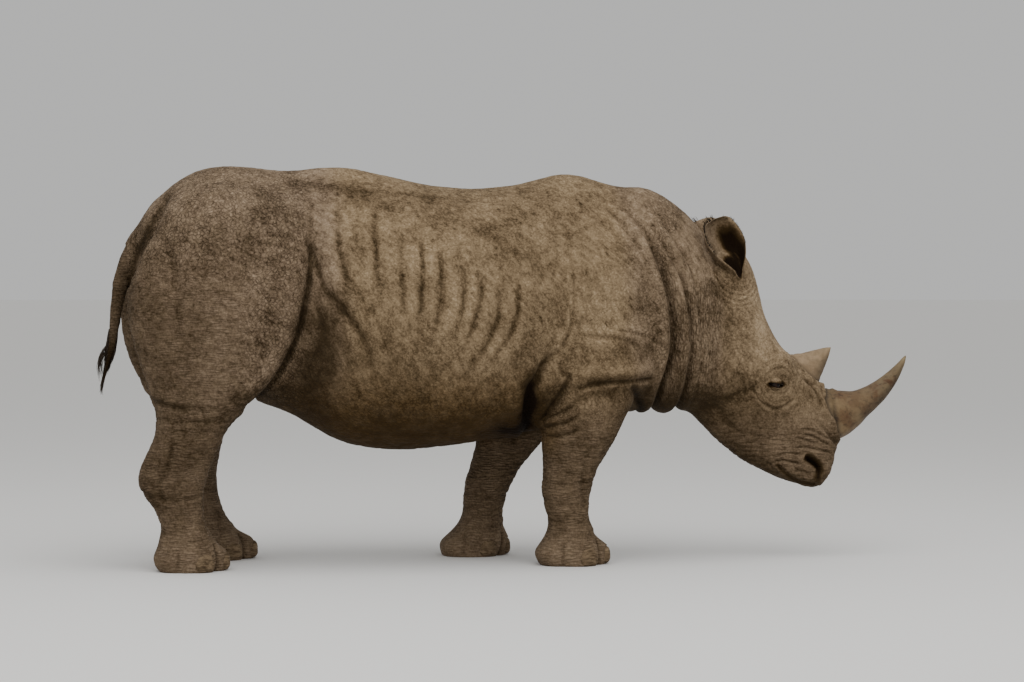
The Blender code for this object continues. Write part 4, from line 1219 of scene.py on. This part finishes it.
def buildNails():
    bm = bmesh.new()
    for leg in legNames:
        side = sideOf[leg.split("_")[1]]
        for label, turn in zip(("inner", "middle", "outer"), toeForm["turns"]):
            made = bmesh.ops.create_uvsphere(bm, u_segments=nailForm["sides"], v_segments=nailForm["rings"], radius=1)
            for vertex in made["verts"]:
                vertex.co = nailPoint(vertex.co, turn, side)
            middle = middleOf(f"{leg}_nail_{label}")
            place = Matrix.Translation(middle) @ Matrix.Rotation(math.radians(turn) * side, 4, "Z")
            bmesh.ops.transform(bm, matrix=place, verts=made["verts"])
    for vertex in bm.verts:
        vertex.co.z = max(vertex.co.z, nailForm["clear"])
    mesh = meshFrom(bm, "nails")
    mesh.shade_smooth()
    piece = addPiece("nails", mesh)
    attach(piece, "root")
    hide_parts(*[f"{leg}_nail_{label}" for leg in legNames for label in ("inner", "middle", "outer")])
    return piece


nailPiece = buildNails()
print("nails built")

# hair: bristles on the tail, fringes on the ears and lashes, each tuft a thin closed spike
tuftForm = {"sides": 3, "steps": 5, "patch": 0.003}
tailHair = {
    "seed": 7, "count": 330, "from": 1.01, "to": 0.775,
    "wide": (0.0011, 0.0019), "long": (0.045, 0.085),
    "spread": 0.55,      # radians that roots lie off the two edges of the tail
    "flare": 0.16, "sag": 0.012, "stray": 0.05,
    "core": 0.021, "coreThinner": 0.68, "sunk": 0.002,
    # locks hang behind, with a gap before the end
    "locks": 46, "lockFrom": (0.905, 0.945), "lockLong": (0.110, 0.135), "lockBow": (0.016, 0.027),
}
earHair = {
    "seed": 11, "count": 230, "wide": 0.0009, "sunk": 0.003,
    "rearLong": (0.014, 0.030), "frontLong": (0.006, 0.013), "cornerLong": 0.014,
}
lashForm = {"seed": 13, "count": 22, "wide": 0.00065, "long": (0.010, 0.017), "curl": 0.22, "spread": 0.80}


def tuftShape():    # one spike along z, with its point at the top
    rings = []
    for k in range(tuftForm["steps"] + 1):
        share = k / tuftForm["steps"]
        wide = max(1 - share**1.6, 0.04)
        turns = [2 * math.pi * i / tuftForm["sides"] for i in range(tuftForm["sides"])]
        rings.append([Vector((wide * math.cos(a), wide * math.sin(a), share)) for a in turns])
    return meshFrom(lofted(rings), "tuft")


# each tuft: root, the way it runs, the way it bends, length, width, bend and place on the unwrap
def planted(name, tufts):
    shape = tuftShape()
    bm = bmesh.new()
    patches = bm.loops.layers.uv.new("OFBake")
    size = tuftForm["patch"]
    for root, ahead, aside, long, wide, bend, (u, v) in tufts:
        firstPoint, firstFace = len(bm.verts), len(bm.faces)
        bm.from_mesh(shape)
        bm.verts.ensure_lookup_table()
        bm.faces.ensure_lookup_table()
        cross = ahead.cross(aside).normalized()
        for face in bm.faces[firstFace:]:
            for loop in face.loops:
                x, y, z = loop.vert.co
                loop[patches].uv = u + size * (0.5 + 0.5 * x), v + size * (0.8 * z + 0.1 * y + 0.1)
        for vertex in bm.verts[firstPoint:]:
            x, y, z = vertex.co
            vertex.co = root + ahead * (z * long) + aside * (bend(z) + x * wide) + cross * (y * wide)
    bmesh.ops.recalc_face_normals(bm, faces=bm.faces)
    mesh = meshFrom(bm, name)
    bpy.data.meshes.remove(shape)
    mesh.shade_smooth()
    piece = addPiece(name, mesh)
    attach(piece, "root")
    return piece


def square(way, to):    # a way turned square to another
    return (way - to * way.dot(to)).normalized()


def tailTufts():
    line = curveThrough(tailForm["line"], 8)
    pick = random.Random(tailHair["seed"])
    aside = Vector((0, 1, 0))
    for i in range(tailHair["count"] + tailHair["locks"]):
        lock = i >= tailHair["count"]
        share = 0 if lock else pick.random() ** 0.75
        if lock:
            z = pick.uniform(*tailHair["lockFrom"])
        else:
            z = tailHair["from"] + (tailHair["to"] - tailHair["from"]) * share
        x, lower = (float(np.interp(-height, -line[:, 1], line[:, 0])) for height in (z, z - 0.04))
        down = Vector((lower - x, 0, -0.04)).normalized()
        angle = pick.gauss(0, tailHair["spread"] * (0.4 if lock else 1))
        angle += math.pi if lock or pick.random() < 0.5 else 0
        behind = down.cross(aside)
        out = (-behind if behind.x < 0 else behind) * math.cos(angle) + aside * math.sin(angle)
        thin = 1 - step(tailForm["drawnBy"], tailForm["drawnFrom"], z)
        core = tailHair["core"] * (1 - tailHair["coreThinner"] * thin) - tailHair["sunk"]
        wide = pick.uniform(*tailHair["wide"])
        if lock:
            long, bow = pick.uniform(*tailHair["lockLong"]), pick.uniform(*tailHair["lockBow"])
            bend = lambda t: bow * math.sin(math.pi * min(t * 1.02, 1)) - 0.004 * t
        else:
            long = pick.uniform(*tailHair["long"]) * (1 - 0.3 * share)
            flare = tailHair["flare"] * pick.uniform(0.4, 1.3) * (1 - 0.6 * share)
            bend = lambda t: flare * long * t - tailHair["sag"] * t * t
        stray = Vector((pick.gauss(0, tailHair["stray"]), pick.gauss(0, tailHair["stray"]), 0))
        patch = angle / (2 * math.pi) % 1 * 0.98, (1.1 - z) * 2.4
        yield Vector((x, 0, z)) + out * float(core), (down + stray).normalized(), out, long, wide, bend, patch


def earTufts():
    pick = random.Random(earHair["seed"])
    sections = curveThrough(earForm["sections"], earForm["lengthSteps"])
    for side in sideOf.values():
        root, lean, facing, across = earFrame(side)
        for i in range(earHair["count"]):
            rear = i % 3 > 0
            share = 1 - 0.55 * pick.random() ** (1.6 if rear else 0.9)
            radius, sweep = (float(np.interp(share, sections[:, 0], column)) for column in sections.T[1:])
            end = side if rear else -side    # which end of the leaf's arc is the rear rim
            turn = end * (1 if share < 0.93 else pick.random())
            angle = math.radians(sweep) / 2 * turn
            wall = earForm["wall"] * (1 - earForm["rimWall"] * turn**4) * (1 - earForm["tipWall"] * share)
            radial = across * math.sin(angle) - facing * math.cos(angle)
            edge = (across * math.cos(angle) + facing * math.sin(angle)) * end
            out = radius + 0.003 - wall * pick.uniform(0.2, 0.8)
            start = root + lean * (share * earForm["length"]) + radial * out
            upward = step(0.80, 1.0, share)
            ahead = edge * float(1 - 0.7 * upward) + lean * float(0.35 + 0.9 * upward)
            ahead = (ahead + radial * pick.uniform(-0.25, 0.25)).normalized()
            aside = square(lean if upward < 0.7 else edge, ahead)
            long = pick.uniform(*earHair["rearLong" if rear else "frontLong"])
            long += earHair["cornerLong"] * float(bell(share - 0.93, 0.06)) * rear
            curl = pick.uniform(-0.1, 0.35)
            bend = lambda t: curl * long * t * t
            wide = earHair["wide"] * pick.uniform(0.8, 1.3)
            patch = 0.25 + 0.24 * turn + (0.5 if side > 0 else 0.0), share * 0.98
            yield start - ahead * earHair["sunk"], ahead, aside, long + earHair["sunk"], wide, bend, patch


def lashTufts():
    pick = random.Random(lashForm["seed"])
    for label, side in sideOf.items():
        centre, front, up, out = (Vector(v) for v in lidFrames[label])
        length, above = eyelids["slit"][:2]
        for i in range(lashForm["count"]):
            t = -lashForm["spread"] + 2 * lashForm["spread"] * i / (lashForm["count"] - 1) + pick.gauss(0, 0.02)
            u, v = t * length, above * max(1 - t * t, 0) ** 0.8 + 0.0016
            w = math.sqrt(max(eyelids["upper"] ** 2 - u * u - v * v, 1e-5))
            start = centre + front * u + up * v + out * (max(w, 0.012) - 0.001)
            ahead = out * 0.75 - up * pick.uniform(0.25, 0.55) + front * (0.45 * t + pick.gauss(0, 0.08))
            ahead.normalize()
            long = pick.uniform(*lashForm["long"]) * (1 - 0.35 * abs(t))
            bend = lambda z: lashForm["curl"] * long * z * z
            patch = 0.25 + 0.2 * t + (0.5 if side > 0 else 0.0), 0.5
            yield start, ahead, square(up, ahead), long, lashForm["wide"], bend, patch


hairPieces = [planted("tailBristles", tailTufts()), planted("earFringe", earTufts()), planted("lashes", lashTufts())]
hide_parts("tail_tuft")
print("hair planted")

# materials
bench = {}    # holds the tree that nodes are being added to


def newMaterial(name):
    material = bpy.data.materials.new(name)
    material.use_nodes = True
    bench["tree"] = material.node_tree
    return material


def feed(value, socket):    # links a socket or sets a value
    if isinstance(value, bpy.types.NodeSocket):
        bench["tree"].links.new(value, socket)
    else:
        socket.default_value = value


def addNode(kind, inputs=None, **settings):
    node = bench["tree"].nodes.new(kind)
    for key, value in settings.items():
        setattr(node, key, value)
    for key, value in (inputs or {}).items():
        feed(value, node.inputs[key])
    return node


def maths(operation, first, second=0.0, third=0.0, clamp=False):
    node = addNode("ShaderNodeMath", operation=operation, use_clamp=clamp)
    for socket, value in zip(node.inputs, (first, second, third)):
        feed(value, socket)
    return node.outputs[0]


def times(first, second, clamp=False):
    return maths("MULTIPLY", first, second, clamp=clamp)


def plus(first, second, clamp=False):
    return maths("ADD", first, second, clamp=clamp)


def minus(first, second):
    return maths("SUBTRACT", first, second)


def mapped(value, low, high, toLow=0.0, toHigh=1.0):
    inputs = {"Value": value, "From Min": low, "From Max": high, "To Min": toLow, "To Max": toHigh}
    return addNode("ShaderNodeMapRange", inputs, interpolation_type="SMOOTHSTEP").outputs["Result"]


def stretched(vector, scale):
    return addNode("ShaderNodeMapping", {"Vector": vector, "Scale": scale}).outputs["Vector"]


def noiseOf(vector, scale, detail, rough):
    inputs = {"Vector": vector, "Scale": scale, "Detail": detail, "Roughness": rough}
    return addNode("ShaderNodeTexNoise", inputs).outputs["Fac"]


def creasesOf(vector, scale, wide):    # 0 in the creases between cells, 1 on the cells
    cells = addNode("ShaderNodeTexVoronoi", {"Vector": vector, "Scale": scale}, feature="DISTANCE_TO_EDGE")
    return mapped(cells.outputs["Distance"], 0.0, wide)


def maskOf(name):
    return addNode("ShaderNodeAttribute", attribute_name=name).outputs["Fac"]


def rampOf(value, stops):
    ramp = addNode("ShaderNodeValToRGB", {"Fac": value})
    for place, colour in stops[1:-1]:
        ramp.color_ramp.elements.new(place)
    for element, (place, colour) in zip(ramp.color_ramp.elements, stops):
        element.position = place
        element.color = (*colour, 1)
    return ramp.outputs["Color"]


def eitherOf(share, first, second):    # one number or another
    return addNode("ShaderNodeMix", {0: share, 2: first, 3: second}, data_type="FLOAT").outputs[0]


def mixOf(share, first, second, blend="MIX"):    # one colour or another
    node = addNode("ShaderNodeMix", {0: share}, data_type="RGBA", blend_type=blend)
    for key, value in ((6, first), (7, second)):
        feed((*value, 1) if isinstance(value, tuple) else value, node.inputs[key])
    return node.outputs[2]


def objectPlace():
    return addNode("ShaderNodeTexCoord").outputs["Object"]


def warpedObject(scale, amount):    # object coordinates, and the same pushed about by noise
    place = objectPlace()
    push = addNode("ShaderNodeTexNoise", {"Vector": place, "Scale": scale, "Detail": 2.0}).outputs["Color"]
    centred = addNode("ShaderNodeVectorMath", {0: push, 1: (0.5, 0.5, 0.5)}, operation="SUBTRACT")
    scaled = addNode("ShaderNodeVectorMath", {0: centred.outputs[0], "Scale": amount}, operation="SCALE")
    moved = addNode("ShaderNodeVectorMath", {0: place, 1: scaled.outputs[0]}, operation="ADD")
    return place, moved.outputs[0]


def finished(material, look, colour, height=None):
    shader = material.node_tree.nodes["Principled BSDF"]
    feed(colour, shader.inputs["Base Color"])
    shader.inputs["Roughness"].default_value = look["roughness"]
    shader.inputs["Specular IOR Level"].default_value = look["shine"]
    if height:
        inputs = {"Height": height, "Strength": look["bump"], "Distance": look["bumpDistance"]}
        feed(addNode("ShaderNodeBump", inputs).outputs["Normal"], shader.inputs["Normal"])
    return material


def buildDust():    # dry mud that lies in patches over any finish
    group = bpy.data.node_groups.new("dryDust", "ShaderNodeTree")
    bench["tree"] = group
    for name, kind, value in (
        ("Colour", "NodeSocketColor", (0.1, 0.1, 0.1, 1)), ("Dust", "NodeSocketColor", (0.3, 0.24, 0.17, 1)),
        ("Amount", "NodeSocketFloat", 0.5), ("Scale", "NodeSocketFloat", 8.0),
    ):
        group.interface.new_socket(name=name, in_out="INPUT", socket_type=kind).default_value = value
    group.interface.new_socket(name="Colour", in_out="OUTPUT", socket_type="NodeSocketColor")
    group.interface.new_socket(name="Mask", in_out="OUTPUT", socket_type="NodeSocketFloat")
    enter, leave = addNode("NodeGroupInput").outputs, addNode("NodeGroupOutput").inputs
    patches = mapped(noiseOf(objectPlace(), enter["Scale"], 6.0, 0.6), 0.42, 0.66)
    mask = times(patches, enter["Amount"], clamp=True)
    feed(mixOf(mask, enter["Colour"], enter["Dust"]), leave["Colour"])
    feed(mask, leave["Mask"])
    return group


dryDust = buildDust()


def dusted(colour, look, amount):
    inputs = {"Colour": colour, "Dust": (*look["dust"], 1), "Amount": amount, "Scale": look["dustScale"]}
    return addNode("ShaderNodeGroup", inputs, node_tree=dryDust).outputs["Colour"]


hideLook = {
    "tones": (
        (0.00, (0.007, 0.0035, 0.001)), (0.28, (0.040, 0.025, 0.010)), (0.50, (0.120, 0.081, 0.044)),
        (0.74, (0.238, 0.170, 0.099)), (1.00, (0.390, 0.292, 0.182)),
    ),
    "middle": 0.535, "warp": (9.0, 0.030),
    "creaseScale": 58.0, "creaseWide": 0.20, "bandWide": 1.4,
    "bandStretch": (0.30, 0.30, 1.50), "pleatStretch": (1.5, 0.9, 0.40),
    # the cavity mask paints shade into hollows and light onto edges
    "creaseDark": 0.09, "cavityShading": 0.07, "bandCrease": 0.02, "calmBands": 0.25,
    "speckleScale": 115.0, "speckle": 0.14, "patchScale": 7.0, "patches": 0.115,
    # grey tints the hide's own colour; the warm tint is painted warm bounce light and warmth in the painted shade
    "grey": (0.985, 1.0, 1.14), "warmBounce": (1.10, 0.98, 0.72),
    "streakScale": 46.0, "streakLean": -32.0, "streakLong": 2.0, "streaks": 0.11,
    "pitScale": 31.0, "pits": 0.13,
    "dust": (0.270, 0.196, 0.118), "dustAmount": 0.25, "dustScale": 23.0,
    "roughness": 0.84, "shine": 0.08, "bump": 0.9, "bumpDistance": 0.0048,
    "streakHigh": 0.8, "creaseDeep": 0.8, "grainScale": 160.0, "grainHigh": 0.30,
}


def buildHideLook():
    material, look = newMaterial("hide"), hideLook
    place, moved = warpedObject(*look["warp"])
    bandMask = maskOf("bands")
    # creases: a fine net, drawn out into bands or pleats
    fine = creasesOf(moved, look["creaseScale"], look["creaseWide"])
    bands, pleats = (
        creasesOf(stretched(moved, look[name]), look["creaseScale"], look["creaseWide"] * look["bandWide"])
        for name in ("bandStretch", "pleatStretch")
    )
    net = eitherOf(maskOf("pleats"), eitherOf(bandMask, fine, bands), pleats)
    strength = times(maskOf("rough"), minus(1.0, times(maskOf("calm"), 0.8)))
    furrow = times(minus(1.0, net), strength)
    # leaning streaks and pits, fewer where the skin lies in bands
    turn = (0, math.radians(look["streakLean"]), 0)
    inputs = {"Vector": moved, "Rotation": turn, "Scale": (1, 1, look["streakLong"])}
    leaning = addNode("ShaderNodeMapping", inputs, vector_type="TEXTURE").outputs["Vector"]
    streak = noiseOf(leaning, look["streakScale"], 5.0, 0.62)
    pits = times(mapped(noiseOf(leaning, look["pitScale"], 4.0, 0.6), 0.58, 0.72), maskOf("pitted"))
    free = minus(1.0, times(bandMask, 0.6))
    # everything that changes the tone a little
    speckle, patches, streaks = look["speckle"], look["patches"], look["streaks"]
    detail = mapped(noiseOf(place, look["speckleScale"], 4.0, 0.65), 0.25, 0.75, -speckle, speckle)
    detail = plus(detail, mapped(noiseOf(place, look["patchScale"], 7.0, 0.62), 0.25, 0.75, -patches, patches))
    detail = minus(detail, times(furrow, maths("MULTIPLY_ADD", bandMask, look["bandCrease"], look["creaseDark"])))
    detail = plus(detail, times(free, mapped(streak, 0.30, 0.70, -streaks, streaks)))
    detail = minus(detail, times(times(pits, free), look["pits"]))
    # painted shade in hollows and painted light on edges
    detail = minus(detail, times(maskOf("cavity"), look["cavityShading"]))
    tone = plus(maskOf("shade"), look["middle"])
    detail = times(detail, mapped(tone, 0.15, 0.55, 0.35, 1.0))    # less of it where the hide is dark
    detail = times(detail, minus(1.0, times(bandMask, look["calmBands"])))
    # nearly black where the dark mask lies: painted shade at the eyes, ears, nostrils and mouth, and the dark end of
    # the tail
    tone = times(plus(tone, detail), minus(1.0, maskOf("dark")), clamp=True)
    colour = rampOf(tone, look["tones"])
    # grey tints the hide's own colour; the warm tint is painted warm bounce light on the belly and in the painted shade
    for name in ("grey", "warmBounce"):
        colour = mixOf(maskOf(name), colour, look[name], "MULTIPLY")
    colour = dusted(colour, look, times(tone, look["dustAmount"]))
    height = minus(times(times(streak, free), look["streakHigh"]), times(furrow, look["creaseDeep"]))
    height = plus(height, times(noiseOf(place, look["grainScale"], 3.0, 0.6), look["grainHigh"]))
    return finished(material, look, colour, height)


hornLook = {
    "tones": (
        (0.00, (0.138, 0.094, 0.049)), (0.19, (0.132, 0.087, 0.043)), (0.30, (0.126, 0.073, 0.034)),
        (0.60, (0.132, 0.090, 0.048)), (0.84, (0.176, 0.129, 0.070)), (1.00, (0.275, 0.212, 0.118)),
    ),
    "warp": (8.0, 0.03), "wobbleScale": 9.0, "wobble": 0.10,
    "blotchScale": 14.0, "wornScale": 30.0, "fibreScale": 120.0, "fibreStretch": (0.22, 1.0, 0.45),
    "rust": (0.084, 0.036, 0.015), "dark": (0.020, 0.013, 0.008), "pale": (0.330, 0.235, 0.140),
    # rim: how much painted shade darkens the horn's foot beside the skin
    "dust": (0.240, 0.168, 0.088), "dustScale": 16.0, "rim": 0.75, "blotchHigh": -0.5,
    "roughness": 0.62, "shine": 0.22, "bump": 0.8, "bumpDistance": 0.0025,
}


def buildHornLook():
    material, look = newMaterial("horn"), hornLook
    place, moved = warpedObject(*look["warp"])
    along = maskOf("along")
    wobble = mapped(noiseOf(place, look["wobbleScale"], 4.0, 0.6), 0.2, 0.8, -look["wobble"], look["wobble"])
    colour = rampOf(plus(along, wobble, clamp=True), look["tones"])
    blotch = mapped(noiseOf(moved, look["blotchScale"], 6.0, 0.65), 0.50, 0.68)
    rust = times(times(blotch, mapped(along, 0.78, 0.90, 0.85, 0.0)), mapped(along, 0.16, 0.24))
    colour = mixOf(rust, colour, look["rust"])
    fibres = noiseOf(stretched(moved, look["fibreStretch"]), look["fibreScale"], 4.0, 0.7)
    colour = mixOf(mapped(fibres, 0.48, 0.70, 0.0, 0.70), colour, look["dark"])
    worn = mapped(noiseOf(moved, look["wornScale"], 5.0, 0.65), 0.35, 0.65, 0.45, 0.85)
    colour = mixOf(times(maskOf("pale"), worn), colour, look["pale"])
    under = times(mapped(maskOf("under"), -0.2, 0.9), mapped(along, 0.25, 0.45, 0.0, 0.6))
    colour = mixOf(times(under, mapped(along, 0.70, 0.85, 1.0, 0.2)), colour, look["dark"])
    colour = dusted(colour, look, mapped(along, 0.2, 0.6, 0.65, 0.25))
    # painted shade at the horn's foot, where it meets the skin
    colour = mixOf(times(maskOf("rim"), look["rim"]), colour, look["dark"])
    return finished(material, look, colour, plus(fibres, times(blotch, look["blotchHigh"])))


nailLook = {
    "tones": ((0.0, (0.048, 0.031, 0.017)), (0.5, (0.125, 0.086, 0.050)), (1.0, (0.235, 0.168, 0.102))),
    "warp": (12.0, 0.02), "streakStretch": (0.4, 0.4, 1.6), "streakScale": 70.0,
    "dust": (0.185, 0.131, 0.080), "dustAmount": 0.35, "dustScale": 22.0,
    "roughness": 0.85, "shine": 0.1, "bump": 0.7, "bumpDistance": 0.003,
}


def buildNailLook():
    material, look = newMaterial("nail"), nailLook
    moved = warpedObject(*look["warp"])[1]
    streaks = noiseOf(stretched(moved, look["streakStretch"]), look["streakScale"], 5.0, 0.65)
    colour = dusted(rampOf(mapped(streaks, 0.28, 0.72), look["tones"]), look, look["dustAmount"])
    return finished(material, look, colour, streaks)


eyeLook = {
    "pupil": (0.003, 0.003, 0.003), "iris": (0.020, 0.009, 0.005), "white": (0.012, 0.007, 0.005),
    "roughness": 0.22, "shine": 0.10, "coat": 0.06, "coatRoughness": 0.03,
}


def buildEyeLook():
    material, look = newMaterial("eye"), eyeLook
    off = maths("DIVIDE", maskOf("fromMiddle"), eyeRadius)
    pupil, iris = eyeForm["pupil"] / eyeRadius, eyeForm["iris"] / eyeRadius
    stops = (
        (0.0, look["pupil"]), (pupil, look["pupil"]), (pupil * 1.15, look["iris"]),
        (iris * 0.92, look["iris"]), (iris * 1.08, look["white"]), (1.0, look["white"]),
    )
    shader = material.node_tree.nodes["Principled BSDF"]
    shader.inputs["Coat Weight"].default_value = look["coat"]
    shader.inputs["Coat Roughness"].default_value = look["coatRoughness"]
    return finished(material, look, rampOf(off, stops))


bristleLook = {
    "tones": ((0.25, (0.010, 0.007, 0.005)), (0.55, (0.036, 0.025, 0.016)), (0.85, (0.110, 0.080, 0.052))),
    "scale": 130.0, "roughness": 0.60, "shine": 0.15,
}


def buildBristleLook():
    material = newMaterial("bristle")
    grain = noiseOf(objectPlace(), bristleLook["scale"], 3.0, 0.6)
    return finished(material, bristleLook, rampOf(grain, bristleLook["tones"]))


def dress(material, *pieces):
    for piece in pieces:
        piece.data.materials.clear()
        piece.data.materials.append(material)


dress(buildHideLook(), skin)
dress(buildHornLook(), *hornPieces)
dress(buildNailLook(), nailPiece)
dress(buildEyeLook(), *eyePieces)
dress(buildBristleLook(), *hairPieces)
print("materials made")
